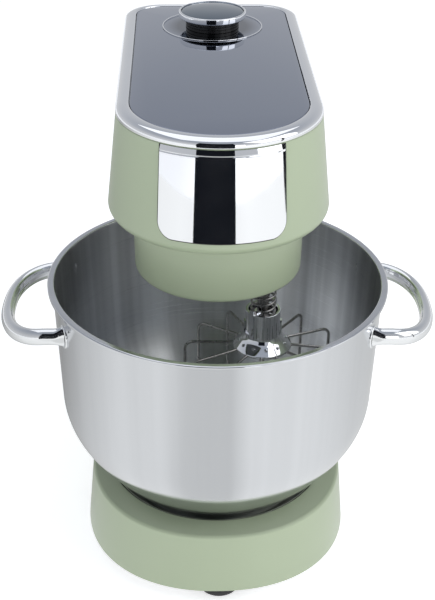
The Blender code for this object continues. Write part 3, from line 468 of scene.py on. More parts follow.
def turn_about(centre, angle):
    """The placement of something made at the origin, turned and then moved to an upright axis."""
    return Matrix.Translation((*centre, 0)) @ Matrix.Rotation(angle, 4, "Z")


def carve(mesh, add=(), remove=(), angle=35):
    """The mesh with other meshes joined to it and then cut from it."""
    body = placed("cutter", mesh)
    helpers = []
    for operation, others in (("UNION", add), ("DIFFERENCE", remove)):
        for other in others:
            helper = placed("cutter", other)
            helpers.append(helper)
            change = body.modifiers.new(operation, "BOOLEAN")
            change.operation = operation
            change.object = helper
            change.solver = "EXACT"
    bpy.context.view_layer.update()
    graph = bpy.context.evaluated_depsgraph_get()
    made = bpy.data.meshes.new_from_object(body.evaluated_get(graph))
    for thing in [body] + helpers:
        bpy.data.objects.remove(thing, do_unlink=True)
    made.shade_smooth()
    made.set_sharp_from_angle(angle=radians(angle))
    return made


def arc(radius, start, end, steps, centre=(0, 0)):
    angles = [radians(start + (end - start) * i / steps) for i in range(steps + 1)]
    return [(centre[0] + radius * cos(a), centre[1] + radius * sin(a)) for a in angles]


def plan(half, rear, corner, taper=0, front_steps=96, corner_steps=12):
    """Plan outline of the head and the base: round about the bowl's axis at the front, square behind."""
    side = half - taper
    outline = arc(half, 180, 360, front_steps, AXIS)
    outline += arc(corner, 0, 90, corner_steps, (side - corner, rear - corner))
    outline += arc(corner, 90, 180, corner_steps, (corner - side, rear - corner))
    return outline


def level(outline, height):
    return [(x, y, height) for x, y in outline]


def grown_plan(half, rear, corner, grow, height):
    """A plan outline grown or shrunk by a margin, at a height."""
    return level(plan(half + grow, rear + grow, corner + grow), height)


def mix(a, b, t):
    return a + (b - a) * t


def screw_head(name, centre, facing, radius, body):
    """A pan-head screw with a cross recess, its head facing a direction."""
    rise = radius * 0.55
    profile = [(0, rise), (radius * 0.5, rise * 0.96), (radius * 0.85, rise * 0.6), (radius, 0), (0, 0)]
    head = turned(soften(profile, [0, 0.0002, 0.0002, 0.0001, 0], 3), steps=40)
    long, short = radius * 0.55, radius * 0.14
    arms = [box_mesh((-x, -y, rise * 0.35), (x, y, rise * 2)) for x, y in ((long, short), (short, long))]
    mesh = carve(head, remove=arms)
    turn = Vector(facing).to_track_quat("Z", "Y").to_matrix().to_4x4()
    mesh.transform(Matrix.Translation(centre) @ turn @ Matrix.Rotation(0.5, 4, "Z"))
    return piece(name, mesh, body, "pressed_steel", STEEL)


# ---- bowl


def four_blocks(low, high, edge):
    """Four copies of a block, a quarter turn apart round the bowl's axis."""
    blocks = [box_mesh(low, high, edge) for _ in range(4)]
    for i, block in enumerate(blocks):
        block.transform(turn_about(AXIS, pi / 2 * i))
    return blocks


WALL = 0.0015
SIDE_TOP = RIM_R - 0.0041
SIDE_LOW = RIM_R - 0.0074
SIDE_END = 0.103           # depth where the side starts to turn in
FLAT_R = 0.0881
TURN_TOP = 0.0283          # how far the side and the bottom pull on the curve between them
TURN_LOW = (0.0229, 0.027)


def side_radius(depth):
    return mix(SIDE_TOP, SIDE_LOW, max((depth - 0.008) / (SIDE_END - 0.008), 0))


def bowl_wall(inset, steps=40):
    """Points (radius, height) of one face of the wall, from below the lip to the flat bottom."""
    floor = BOWL_DEPTH - inset
    flat = FLAT_R - inset * 0.5
    pull = SIDE_END + TURN_TOP
    steer = ((side_radius(SIDE_END) - inset, SIDE_END), (side_radius(pull) - inset, pull),
             (flat + TURN_LOW[0], floor - TURN_LOW[1]), (flat, floor))
    points = []
    for i in range(8):
        depth = mix(0.006, SIDE_END, i / 8)
        points.append((side_radius(depth) - inset, RIM_Z - depth))
    for i in range(steps + 1):
        t = i / steps
        share = ((1 - t) ** 3, 3 * t * (1 - t) ** 2, 3 * t * t * (1 - t), t ** 3)
        radius = sum(k * point[0] for k, point in zip(share, steer))
        depth = sum(k * point[1] for k, point in zip(share, steer))
        points.append((radius, RIM_Z - depth))
    return points


def make_bowl():
    lip = [(SIDE_TOP - WALL, 0.006), (SIDE_TOP - WALL, 0.0002), (RIM_R - 0.0012, 0),
           (RIM_R - 0.0001, 0.0006), (RIM_R - 0.0001, 0.003), (RIM_R - 0.0012, 0.0034),
           (SIDE_TOP + 0.0002, 0.003), (SIDE_TOP, 0.006)]
    lip = [(radius, RIM_Z - depth) for radius, depth in lip]
    lip = soften(lip, [0, 0.0011, 0.0003, 0.0004, 0.0005, 0.0003, 0.0004, 0], 5)
    inside = bowl_wall(WALL)[1:][::-1]
    outside = bowl_wall(0)[1:]
    bottom = RIM_Z - BOWL_DEPTH
    crown = [(0, bottom + WALL + 0.0012), (0.018, bottom + WALL + 0.001), (0.045, bottom + WALL + 0.0001)]
    profile = crown + inside + lip + outside + [(0, bottom)]
    mesh = turned(profile, AXIS, 256, angle=40)
    bowl = piece("bowl", mesh, "bowl", "bowl_steel", BOWL_OUT, BOWL_IN)
    edge = SIDE_TOP - WALL + 0.0003
    for face in mesh.polygons:
        x, y, z = face.center
        inward = face.normal.x * x + face.normal.y * (y - AXIS_Y) < 0
        floor = z < RIM_Z - SIDE_END and face.normal.z > 0.2
        if (inward and hypot(x, y - AXIS_Y) < edge) or floor:
            face.material_index = 1
    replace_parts(bowl, "bowl_shell")

    low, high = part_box("bowl_foot_ring")
    radius = high.x
    ring = soften([(radius - 0.0033, high.z), (radius, high.z), (radius, low.z), (radius - 0.0033, low.z)],
                  [0, 0.0004, 0.001, 0], 4)
    mesh = turned(ring, AXIS, 160, closed=True)
    lugs = four_blocks((0.0672, -0.01, low.z), (radius - 0.002, 0.01, low.z + 0.0033), 0.0006)
    foot = piece("bowl_foot", carve(mesh, add=lugs), "bowl", "bowl_steel", BOWL_OUT)
    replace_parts(foot, "bowl_foot_ring")


HANDLE_DROP = 0.025       # below the rim
HANDLE_HALF = 0.0545
HANDLE_TUBE = 0.0054
HANDLE_TALL = 1.25         # height of the oval tube over its width
BOWL_TURN = radians(-1)
BEAD_HALF, BEAD_RISE = 0.0068, 0.0088


def handle_section(t):
    """Round outside, with three fine flutes on the face towards the bowl, flattened at both ends."""
    end = min(t, 1 - t)
    flat = min(end / 0.06, 1)
    squeeze = mix(0.62, 1, flat * flat * (3 - 2 * flat))
    widen = mix(1.3, 1, flat * flat * (3 - 2 * flat))
    points = []
    for a in circle(72):
        inner = cos(a)
        radius = HANDLE_TUBE
        if inner < -0.55:
            radius -= 0.00035 * (0.5 + 0.5 * cos(12 * a)) * min((-0.55 - inner) / 0.15, 1) * flat
        points.append((radius * cos(a) * squeeze, radius * sin(a) * widen * HANDLE_TALL))
    return points


def make_handle(node, side):
    low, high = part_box(node)
    reach = max(abs(low.x), abs(high.x)) - HANDLE_TUBE - 0.0001
    height = RIM_Z - HANDLE_DROP
    wall = sqrt((SIDE_TOP - 0.0003) ** 2 - HANDLE_HALF ** 2) - 0.001
    bend = 0.034
    half = []
    for a in quarter(28):
        out = reach - bend * (1 - cos(a) ** 0.9)
        half.append((out, HANDLE_HALF * sin(a) ** 0.85, height - 0.004 * cos(a)))
    tail = half[-1][0]
    for i in range(1, 9):
        half.append((mix(tail, wall, i / 8), HANDLE_HALF, height))
    path = [(side * x, AXIS_Y - y, z) for x, y, z in half[::-1]]
    path += [(side * x, AXIS_Y + y, z) for x, y, z in half[1:]]
    rings = []
    count = len(path)
    for i, point in enumerate(path):
        here = Vector(point)
        along = (Vector(path[min(i + 1, count - 1)]) - Vector(path[max(i - 1, 0)])).normalized()
        outward = Vector((along.y, -along.x, 0)).normalized()
        if outward.dot(here - Vector((0, AXIS_Y, here.z))) < 0:
            outward.negate()
        up = along.cross(outward)
        section = handle_section(i / (count - 1))
        rings.append([here + outward * u + up * v for u, v in section])
    mesh = loft(rings, angle=60)
    mesh.transform(turn_about(AXIS, BOWL_TURN) @ Matrix.Translation((0, -AXIS_Y, 0)))
    handle = piece(node + "_tube", mesh, "bowl", "polished_steel", POLISHED)
    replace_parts(handle, node)
    for k, y in enumerate((-HANDLE_HALF, HANDLE_HALF)):
        weld_bead(f"{node}_weld_{k + 1}", side * wall, AXIS_Y + y, height)


def weld_bead(name, x, y, z):
    """The polished bead where a handle's end is welded to the wall."""
    outward = Matrix.Rotation(BOWL_TURN, 3, "Z") @ Vector((x, y - AXIS_Y, 0)).normalized()
    radius = SIDE_TOP - 0.0008
    centre = Vector((outward.x * radius, AXIS_Y + outward.y * radius, z))
    across = Vector((-outward.y, outward.x, 0))
    up = Vector((0, 0, 1))
    path = []
    for a in circle(40):
        here = across * BEAD_HALF * cos(a) + up * BEAD_RISE * sin(a)
        path.append(centre + here + outward * 0.0004)
    piece(name, tube(path, 0.0011, 12, closed=True), "bowl", "polished_steel", POLISHED)


# ---- head

HEAD_HALF_LOW = head_high.x
HEAD_HALF_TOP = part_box("chrome_bezel")[1].x - 0.0002
HEAD_REAR_LOW = head_high.y
HEAD_REAR_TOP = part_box("chrome_bezel")[1].y - 0.0002
HEAD_CORNER = 0.034
HEAD_EDGE = 0.008
SHELL = 0.003
DRIVE_R = 0.0605           # the drive's disc, and the opening for it in the head


def head_half(height):
    start = HEAD_BOTTOM + HEAD_EDGE
    return mix(HEAD_HALF_LOW, HEAD_HALF_TOP, max((height - start) / (HEAD_TOP - start), 0))


def head_ring(height, inset=0):
    t = max((height - HEAD_BOTTOM - HEAD_EDGE) / (HEAD_TOP - HEAD_BOTTOM - HEAD_EDGE), 0)
    rear = mix(HEAD_REAR_LOW, HEAD_REAR_TOP, t) - inset
    return level(plan(head_half(height) - inset, rear, HEAD_CORNER - inset), height)


def slot_cutter(half_length, half_width, z, y_low, y_high):
    """A round-ended slot through a wall at the rear, cut along Y."""
    outline = arc(half_width, -90, 90, 8, (half_length - half_width, z))
    outline += arc(half_width, 90, 270, 8, (half_width - half_length, z))
    return loft([[(x, y, height) for x, height in outline] for y in (y_low, y_high)])


def make_head_shell():
    outside = [(HEAD_EDGE * (1 - sin(a)), HEAD_EDGE * (1 - cos(a))) for a in quarter(10)[::-1]]
    outside = [head_ring(HEAD_BOTTOM + rise, inset) for rise, inset in outside]
    outside += [head_ring(mix(HEAD_BOTTOM + HEAD_EDGE, HEAD_TOP, t)) for t in (0.25, 0.5, 0.75)]
    outside += [head_ring(HEAD_TOP - 0.0006), head_ring(HEAD_TOP, 0.0005)]
    inside = [head_ring(HEAD_TOP, SHELL), head_ring(HEAD_BOTTOM + 0.012, SHELL),
              head_ring(HEAD_BOTTOM + 0.005, SHELL + 0.002), head_ring(HEAD_BOTTOM + SHELL, 0.009)]
    mesh = loft(outside + inside)
    hole = post_mesh(AXIS, HEAD_BOTTOM - 0.01, HEAD_BOTTOM + 0.01, DRIVE_R, 96)
    opening = box_mesh((-0.0235, 0.132, HEAD_BOTTOM - 0.01), (0.0235, 0.181, HEAD_BOTTOM + 0.01))
    cuts = [hole, opening]
    for i in range(6):
        cuts.append(slot_cutter(0.035, 0.00175, HEAD_BOTTOM + 0.02375 + 0.008 * i, 0.17, 0.21))
    casing = piece("head_casing", carve(mesh, remove=cuts), "head", "green_paint", GREEN)
    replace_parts(casing, "head_shell")


def make_bezel():
    low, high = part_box("chrome_bezel")
    rise = high.z - low.z
    reach, shoulder = 0.009, 0.0012
    section = [(0, low.z), (0.0002, low.z + 0.0002)]
    for a in quarter(18):
        out = 0.0002 - reach * (1 - cos(a) ** (2 / 2.35))
        height = low.z + shoulder + (rise - shoulder) * sin(a) ** (2 / 2.35)
        section.append((out, height))
    section += [(-0.0097, high.z - 0.0002), (-0.0101, high.z - 0.0007), (-0.0101, low.z + 0.0032),
                (-0.0129, low.z + 0.0032), (-0.0129, low.z)]
    rings = [grown_plan(HEAD_HALF_TOP, HEAD_REAR_TOP, HEAD_CORNER, out, height) for out, height in section]
    bezel = piece("chrome_surround", loft(rings, closed=True, angle=40), "head", "chrome_trim", CHROME)
    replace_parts(bezel, "chrome_bezel")


def make_glass():
    half, rear, corner = glass_high.x, glass_high.y, HEAD_CORNER - 0.0107
    edge = [(0, glass_low.z), (0, GLASS_TOP - 0.0009)]
    for a in quarter(6)[1:]:
        edge.append((0.0009 * (1 - cos(a)), GLASS_TOP - 0.0009 * (1 - sin(a))))
    rings = [grown_plan(half, rear, corner, -inset, height) for inset, height in edge]
    hole = post_mesh(KNOB, glass_low.z - 0.01, GLASS_TOP + 0.01, 0.004, 48)
    glass = piece("glass_panel", carve(loft(rings), remove=[hole]), "head", "grey_glass", GLASS)
    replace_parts(glass, "glass_top_panel")
    top = GLASS_TOP - 0.0014
    seal = [(-GAP * 0.9, top), (0.0001, top), (0.0001, glass_low.z), (-GAP * 0.9, glass_low.z)]
    rings = [grown_plan(half, rear, corner, -inset, height) for inset, height in seal]
    piece("panel_seal", loft(rings, closed=True), "head", "foot_rubber", RUBBER)


PLATE_SPAN_TOP = radians(34.2)
PLATE_SPAN_LOW = radians(32.8)
PLATE_CORNER = 0.012
PLATE_RAISE = 0.0024
GROOVE_DROP = 0.0044
GROOVE_HALF = 0.0008
GROOVE_DEPTH = 0.0004


def plate_rings(grow, thick_out, thick_in):
    """Rings of the front plate, from its rounded lower corners to its top, grown by a margin."""
    low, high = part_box("front_plate")
    bottom, top = low.z + PLATE_RAISE - grow, high.z
    radius = PLATE_CORNER + grow
    heights = [bottom + radius * (1 - cos(a)) for a in quarter(15)[1:]]
    heights += [mix(bottom + radius, top, i / 10) for i in range(1, 11)]
    heights += [top - GROOVE_DROP + GROOVE_HALF * i / 3 for i in range(-3, 4)]
    heights = sorted(set(heights))
    rings = []
    for height in heights:
        rise = min(height - bottom, radius)
        side = sqrt(max(radius ** 2 - (radius - rise) ** 2, 0))
        span = mix(PLATE_SPAN_LOW, PLATE_SPAN_TOP, (height - bottom) / (top - bottom))
        reach = degrees(span + grow / HEAD_HALF_LOW - (radius - side) / head_half(height))
        curl = max(1 - (top - height) / 0.0036, 0)
        groove = max(1 - abs(height - top + GROOVE_DROP) / GROOVE_HALF, 0)
        groove = GROOVE_DEPTH * groove * groove * (3 - 2 * groove)
        outer = head_half(height) + max(thick_out - 0.0011 * curl * curl - groove, thick_in + 0.0002)
        inner = head_half(height) + thick_in
        ring = arc(inner, 270 + reach, 270 - reach, 48, AXIS)
        face = arc(outer - 0.0003, 270 - reach, 270 + reach, 2, AXIS)
        ring += [face[0]] + arc(outer, 270 - reach + 0.25, 270 + reach - 0.25, 48, AXIS) + [face[-1]]
        rings.append(level(ring, height))
    return rings


def make_front_plate():
    plate = piece("chrome_front", loft(plate_rings(0, 0.0015, 0.0002)), "head", "chrome_trim", CHROME)
    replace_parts(plate, "front_plate")
    piece("front_gasket", loft(plate_rings(0.0011, 0.0006, 0.0001)), "head", "foot_rubber", RUBBER)


def make_collar():
    radius = collar_high.x
    top, low = collar_high.z, collar_low.z
    outline = [(0.063, top), (radius, top), (radius - 0.0008, low), (0.0612, low), (0.0612, low + 0.0035),
               (0.063, low + 0.005)]
    profile = soften(outline, [0, 0.0008, 0.0042, 0.001, 0.0005, 0], 8)
    collar = piece("collar", turned(profile, AXIS, 192, closed=True), "head", "green_paint", GREEN)
    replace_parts(collar, "drive_collar")


def band_section(outer, thick, low, high):
    """The section of an upright band."""
    return [(outer - thick, low.z), (outer - thick, high.z), (outer, high.z), (outer, low.z)]


def make_knob():
    outer = trim_high.x
    ring = soften(band_section(outer, 0.0009, trim_low, trim_high), [0, 0.0002, 0.0002, 0], 3)
    trim = piece("knob_ring", turned(ring, KNOB, 160, closed=True), "head", "chrome_trim", CHROME)
    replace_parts(trim, "knob_trim_ring")

    neck_low, neck_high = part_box("knob_neck")
    radius = neck_high.x
    foot = GLASS_TOP + GAP
    neck = [(0, neck_high.z), (radius, neck_high.z)]
    for rise in (0.0044, 0.0022):
        neck += [(radius, foot + rise + 0.0008), (radius - 0.0005, foot + rise + 0.0006),
                 (radius - 0.0005, foot + rise + 0.0002), (radius, foot + rise)]
    neck += [(radius, foot), (0.0036, foot), (0.0036, neck_low.z), (0, neck_low.z)]
    stem = piece("knob_stem", turned(neck, KNOB, 128), "speed_knob", "black_plastic", BLACK)
    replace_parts(stem, "knob_neck")

    rim_low, rim_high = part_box("knob_rim")
    outer = rim_high.x
    band = band_section(outer, 0.0018, rim_low, rim_high)
    band = soften([band[-1]] + band + [band[0]], [0, 0, 0.0003, 0.0011, 0.0011, 0], 8)[1:-1]
    rim = piece("knob_band", turned(band, KNOB, 160, closed=True), "speed_knob", "chrome_trim", CHROME)
    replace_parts(rim, "knob_rim")

    cap_low, cap_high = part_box("knob_cap")
    edge = cap_high.x
    dome = cap_high.z - (rim_high.z - 0.0008)
    points = [(0, cap_high.z)]
    for i in range(1, 17):
        radius = (edge - 0.001) * i / 16
        points.append((radius, cap_high.z - dome * (radius / edge) ** 2.4))
    points += [(edge - 0.0004, points[-1][1] - 0.0003), (edge, points[-1][1] - 0.0008), (edge, cap_low.z),
               (0, cap_low.z)]
    face = piece("knob_face", turned(points, KNOB, 160), "speed_knob", "grey_glass", CAP_GREY)
    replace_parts(face, "knob_cap")


# ---- base and column

BASE_BOTTOM, BASE_TOP = base_low.z, base_high.z
BASE_HALF = base_high.x
BASE_REACH = AXIS_Y - base_low.y
BASE_POWER = 2.2
RECESS_R = 0.0915
RECESS_FLOOR = BASE_TOP - 0.0145


def base_ring(height, inset=0):
    t = (height - BASE_BOTTOM) / (BASE_TOP - BASE_BOTTOM)
    half = mix(BASE_HALF, BASE_HALF - 0.0057, t) - inset
    reach = BASE_REACH - inset
    made = []
    for x, y in plan(half, base_high.y - 0.001 * t - inset, 0.045 - inset, taper=0.008):
        if y < AXIS_Y + 1e-6:
            across, along = x / half, (AXIS_Y - y) / half
            stretch = (abs(across) ** BASE_POWER + abs(along) ** BASE_POWER) ** (-1 / BASE_POWER)
            x, y = across * stretch * half, AXIS_Y - along * stretch * reach
        made.append((x, y))
    return level(made, height)


def make_base():
    edge = 0.0028
    outside = [base_ring(BASE_TOP - edge * (1 - sin(a)), edge * (1 - cos(a))) for a in quarter(10)]
    outside = [base_ring(BASE_BOTTOM, 0.0008), base_ring(BASE_BOTTOM + 0.0008)] + outside
    inside = [base_ring(BASE_TOP - 0.003, 0.003), base_ring(BASE_BOTTOM, 0.003)]
    mesh = loft(outside[::-1] + inside[::-1])
    cup = post_mesh(AXIS, RECESS_FLOOR - 0.0025, BASE_TOP - 0.001, RECESS_R + 0.0025, 160)
    mouth, above = RECESS_R + 0.001, BASE_TOP + 0.01
    lip = [(0, RECESS_FLOOR), (RECESS_R, RECESS_FLOOR), (RECESS_R, BASE_TOP - 0.0008),
           (mouth, BASE_TOP + 0.0002), (mouth, above), (0, above)]
    lip = soften(lip, [0, 0.0008, 0.0005, 0, 0, 0], 4)
    hollow = turned(lip, AXIS, 160)
    well = box_mesh((-0.05, 0.098, BASE_TOP - 0.01), (0.05, 0.184, BASE_TOP + 0.01))
    mesh = carve(mesh, add=[cup], remove=[hollow, well])
    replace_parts(piece("base_casing", mesh, "stand", "green_paint", GREEN), "base_housing")

    for node in ("foot_front", "foot_left", "foot_right", "foot_rear_left", "foot_rear_right"):
        low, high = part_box(node)
        x, y = (low.x + high.x) / 2, (low.y + high.y) / 2
        radius = high.x - x
        outline = [(0, high.z), (radius, high.z), (radius, low.z + 0.0045), (radius - 0.0015, low.z),
                   (radius - 0.004, low.z), (radius - 0.0045, low.z + 0.0006), (0, low.z + 0.0006)]
        profile = soften(outline, [0, 0.0005, 0.0015, 0.001, 0.0003, 0.0003, 0], 4)
        foot = piece(node + "_pad", turned(profile, (x, y), 64), "stand", "foot_rubber", RUBBER)
        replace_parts(foot, node)


def make_seat():
    """The plate under the bowl: a lip round its edge and four tongues over the lugs of the bowl's foot."""
    low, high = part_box("bowl_seat_ring")
    outer, floor = high.x, low.z
    section = [(0.0597, floor), (0.0597, floor + 0.0096), (0.0637, floor + 0.0096), (0.0637, floor + 0.0026),
               (outer - 0.0011, floor + 0.0026), (outer - 0.0011, high.z), (outer, high.z), (outer, floor)]
    section = soften(section, [0.0003, 0.0006, 0.0006, 0.0008, 0.0005, 0.0003, 0.0003, 0.0005], 3)
    mesh = turned(section, AXIS, 160, closed=True)
    tongues = four_blocks((0.0617, -0.013, floor + 0.0076), (0.0717, 0.013, floor + 0.0092), 0.0004)
    seat = piece("bowl_seat", carve(mesh, add=tongues), "stand", "pressed_steel", BLACKENED)
    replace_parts(seat, "bowl_seat_ring")


COLUMN_HALF_LOW = column_high.x
COLUMN_HALF_TOP = COLUMN_HALF_LOW - 0.006
COLUMN_FRONT, COLUMN_REAR = column_low.y, column_high.y
COLUMN_CROWN = 0.31        # the column is built up to here, then cut by the head's sweep
COVER_SCREWS = ((-0.044, 0.088), (0.044, 0.088), (-0.044, 0.246), (0.044, 0.246))
LEVER_R = 0.0125


def column_ring(height, inset=0):
    t = max((height - BASE_TOP) / (HEAD_BOTTOM - 0.0015 - BASE_TOP), 0)
    half = mix(COLUMN_HALF_LOW, COLUMN_HALF_TOP, t ** 0.6) - inset
    front, rear = COLUMN_FRONT + inset, COLUMN_REAR - inset
    nose, tail = 0.016 - inset / 2, 0.03 - inset / 2
    outline = arc(nose, 180, 270, 12, (nose - half, front + nose))
    outline += arc(nose, 270, 360, 12, (half - nose, front + nose))
    outline += arc(tail, 0, 90, 16, (half - tail, rear - tail))
    outline += arc(tail, 90, 180, 16, (tail - half, rear - tail))
    return level(outline, height)


def swing_mesh(clearance, tilt=38):
    """The space that the tilting head sweeps above the column."""
    radius = HEAD_BOTTOM - HINGE_Z - clearance
    slope = radians(tilt)
    crest = arc(radius, 90, 90 - tilt, 24, (HINGE_Y, HINGE_Z))
    last = crest[-1]
    tail = (last[0] + 0.09 * cos(slope), last[1] - 0.09 * sin(slope))
    outline = [(0, crest[0][1])] + crest + [tail, (tail[0] + 0.02, 0.36), (0, 0.36)]
    return loft([[(x, y, z) for y, z in outline] for x in (-0.15, 0.15)])


def make_column():
    low = column_low.z
    heights = [low] + [mix(low, COLUMN_CROWN, i / 12) for i in range(1, 13)]
    shell = loft([column_ring(h) for h in heights])
    cavity = loft([column_ring(h, 0.003) for h in [0.06] + heights[1:]])
    cavity = carve(cavity, remove=[swing_mesh(0.005)])
    slot = box_mesh((-0.0245, 0.128, 0.262), (0.0245, 0.23, 0.33), 0.002)
    door = box_mesh((-0.05, 0.18, 0.082), (0.05, 0.23, 0.252))
    lever_low, lever_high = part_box("release_lever")
    y, z = (lever_low.y + lever_high.y) / 2, lever_high.z - LEVER_R
    hole = rod_mesh((0.05, y, z), (0.1, y, z), 0.0048, 48)
    mesh = carve(shell, remove=[swing_mesh(0.002), cavity, slot, door, hole])
    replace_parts(piece("column_casing", mesh, "stand", "green_paint", GREEN), "column_shell")

    low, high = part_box("column_rear_cover")
    panel = box_mesh(low, high, 0.0005, 2)
    cuts = [slot_cutter(0.03, 0.002, 0.192 + 0.009 * i, 0.18, 0.21) for i in range(5)]
    inlet_low, inlet_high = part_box("power_inlet")
    inlet_z = (inlet_low.z + inlet_high.z) / 2
    cuts.append(rod_mesh((0, 0.18, inlet_z), (0, 0.21, inlet_z), 0.0083, 64))
    panel = piece("rear_panel", carve(panel, remove=cuts), "stand", "green_paint", GREEN)
    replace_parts(panel, "column_rear_cover")
    for i, (x, z) in enumerate(COVER_SCREWS):
        screw_head(f"cover_screw_{i + 1}", (x, high.y - 0.0004, z), (0, 1, 0), 0.003, "stand")

    gland = [(0.0045, 0.0018), (0.011, 0.0018), (0.011, GAP), (0.008, GAP), (0.008, -0.01),
             (0.0045, -0.01)]
    mesh = turned([(0.0045, 0.0009)] + soften(gland, [0.0004, 0.0008, 0.0001, 0, 0, 0], 4)[1:], steps=72,
                  closed=True)
    mesh.transform(Matrix.Translation((0, COLUMN_REAR, inlet_z)) @ Matrix.Rotation(radians(-90), 4, "X"))
    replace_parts(piece("inlet_gland", mesh, "stand", "black_plastic", DULL_BLACK), "power_inlet")


def make_lever():
    low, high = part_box("release_lever")
    y, z = (low.y + high.y) / 2, high.z - LEVER_R
    face, back = high.x, high.x - 0.009
    disc = rod_mesh((back, y, z), (face, y, z), LEVER_R, 96, 0.0012)
    outline = [(y - 0.0065, z), (y - 0.0065, low.z + 0.004), (y - 0.004, low.z), (y + 0.004, low.z),
               (y + 0.0065, low.z + 0.004), (y + 0.0065, z)]
    outline = soften(outline, [0, 0.001, 0.0025, 0.0025, 0.001, 0], 6)
    arm = loft([[(x, v, w) for v, w in outline] for x in (back + 0.002, back + 0.0025, face - 0.0005, face)])
    spindle = rod_mesh((low.x, y, z), (back + 0.004, y, z), 0.004, 48)
    mesh = carve(disc, add=[arm, spindle])
    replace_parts(piece("lever", mesh, "release", "chrome_trim", CHROME), "release_lever")


# ---- planetary drive and whisk

HUB_LOW = hub_low.z + 0.0015
HUB_R = 0.0145
PIN_Z = HUB_TOP - 0.0125
PIN_HALF = 0.0142
SPRING_SEAT = PIN_Z + 0.004
COIL_R = 0.0098
COIL_TURNS = 8
LOOPS = 6
WIRE_R = 0.00125


def make_carrier():
    """The disc seen inside the collar, with its hub and the arm above the pinion."""
    low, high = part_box("planet_carrier")
    disc_top = low.z + 0.006
    outline = [(0, disc_top - 0.001), (0.0058, disc_top - 0.001), (0.0058, high.z), (0.01, high.z),
               (0.01, disc_top), (DRIVE_R, disc_top), (DRIVE_R, low.z), (0.052, low.z),
               (0.0515, low.z + 0.0008), (0.0505, low.z + 0.0008), (0.05, low.z), (0, low.z)]
    profile = soften(outline, [0, 0, 0, 0.0003, 0.001, 0.0004, 0.0008, 0, 0, 0, 0, 0], 4)
    mesh = turned(profile, AXIS, 144)
    gear_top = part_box("ring_gear")[1].z
    arm_low, arm_high = gear_top + 0.0035, gear_top + 0.0095
    boss = post_mesh(WHISK, arm_low, arm_high, 0.0085, 48)
    arm = box_mesh((0.0075, AXIS_Y - 0.006, arm_low), (WHISK_X, AXIS_Y + 0.006, arm_high))
    seat = post_mesh(WHISK, low.z - 0.01, disc_top + 0.01, 0.0103, 64)
    top = post_mesh(WHISK, arm_low - 0.002, arm_high + 0.01, 0.0043, 40)
    mesh = carve(mesh, add=[boss, arm], remove=[seat, top])
    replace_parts(piece("carrier_disc", mesh, "planet_drive", "cast_alloy", DISC_METAL), "planet_carrier")
    for i, turn in enumerate((90, 180, 270)):
        x, y = arc(0.03, turn, turn, 1, AXIS)[0]
        screw_head(f"carrier_screw_{i + 1}", (x, y, low.z + 0.0002), (0, 0, -1), 0.0028, "planet_drive")


def make_shaft():
    low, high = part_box("whisk_shaft")
    shoulder = collar_low.z - 0.001
    outline = [(0, high.z), (0.004, high.z), (0.004, high.z - 0.008), (0.005, high.z - 0.008),
               (0.005, shoulder), (0.0085, shoulder), (0.0085, shoulder - 0.0025),
               (0.005, shoulder - 0.0025), (0.005, low.z + 0.0005), (0.0042, low.z), (0, low.z)]
    profile = soften(outline, [0, 0.0005, 0, 0.0003, 0, 0.0006, 0.0006, 0, 0.0003, 0.0002, 0], 4)
    shaft = turned(profile, WHISK, 64)
    start, end = (WHISK_X - PIN_HALF, AXIS_Y, PIN_Z), (WHISK_X + PIN_HALF, AXIS_Y, PIN_Z)
    pin = rod_mesh(start, end, 0.0015, 32, 0.0004)
    mesh = carve(shaft, add=[pin])
    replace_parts(piece("drive_shaft", mesh, "whisk_drive", "wire_steel", WIRE), "whisk_shaft")

    low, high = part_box("whisk_spring")
    radius = 0.001
    bottom, top = low.z + radius, high.z - radius
    count = 40 * COIL_TURNS
    path = []
    for i in range(count + 1):
        a = 2 * pi * COIL_TURNS * i / count
        path.append((WHISK_X + COIL_R * cos(a), AXIS_Y + COIL_R * sin(a), mix(bottom, top, i / count)))
    coil = piece("spring_coil", tube(path, 0.00095, 12), "whisk_drive", "wire_steel", WIRE)
    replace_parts(coil, "whisk_spring")
    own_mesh(coil)


def make_hub():
    cone_top = HUB_LOW + 0.0115
    floor = HUB_LOW + 0.004
    outline = [(0, floor), (0.0056, floor), (0.0056, SPRING_SEAT), (0.0122, SPRING_SEAT), (0.0122, HUB_TOP),
               (HUB_R, HUB_TOP), (HUB_R, cone_top), (0.017, cone_top - 0.0035), (CONE_R, HUB_LOW + 0.001),
               (CONE_R, HUB_LOW), (CONE_R - 0.002, HUB_LOW - 0.0015), (0, HUB_LOW - 0.0015)]
    profile = soften(outline, [0, 0, 0.0002, 0, 0.0003, 0.0006, 0.0015, 0.0015, 0.001, 0.0004, 0.0008, 0], 6)
    mesh = turned(profile, WHISK, 144, angle=30)
    low = PIN_Z - 0.0105
    spans = [(0, low, PIN_Z + 0.002)] + [(turn, low, low + 0.0036) for turn in (8, 16, 24, 32, 40)]
    spans.append((48, low, HUB_TOP + 0.004))
    cuts = []
    for turn, start, end in spans:
        slot = box_mesh((-0.0155, -0.0021, start), (0.0155, 0.0021, end))
        slot.transform(turn_about(WHISK, radians(turn)))
        cuts.append(slot)
    for i in range(2 * LOOPS):
        a = radians(30 * i + 5)
        reach, height = 0.0196, HUB_LOW + 0.0052
        centre = (WHISK_X + reach * cos(a), AXIS_Y + reach * sin(a), height)
        dimple = turned([(0, 0.0016), (0.0012, 0.001), (0.0014, 0), (0.0012, -0.001), (0, -0.0016)],
                        steps=20)
        dimple.transform(Matrix.Translation(centre))
        cuts.append(dimple)
    mesh = carve(mesh, remove=cuts, angle=30)
    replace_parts(piece("hub_body", mesh, "whisk", "chrome_trim", CHROME), "whisk_hub")


CAGE_R = 0.0645


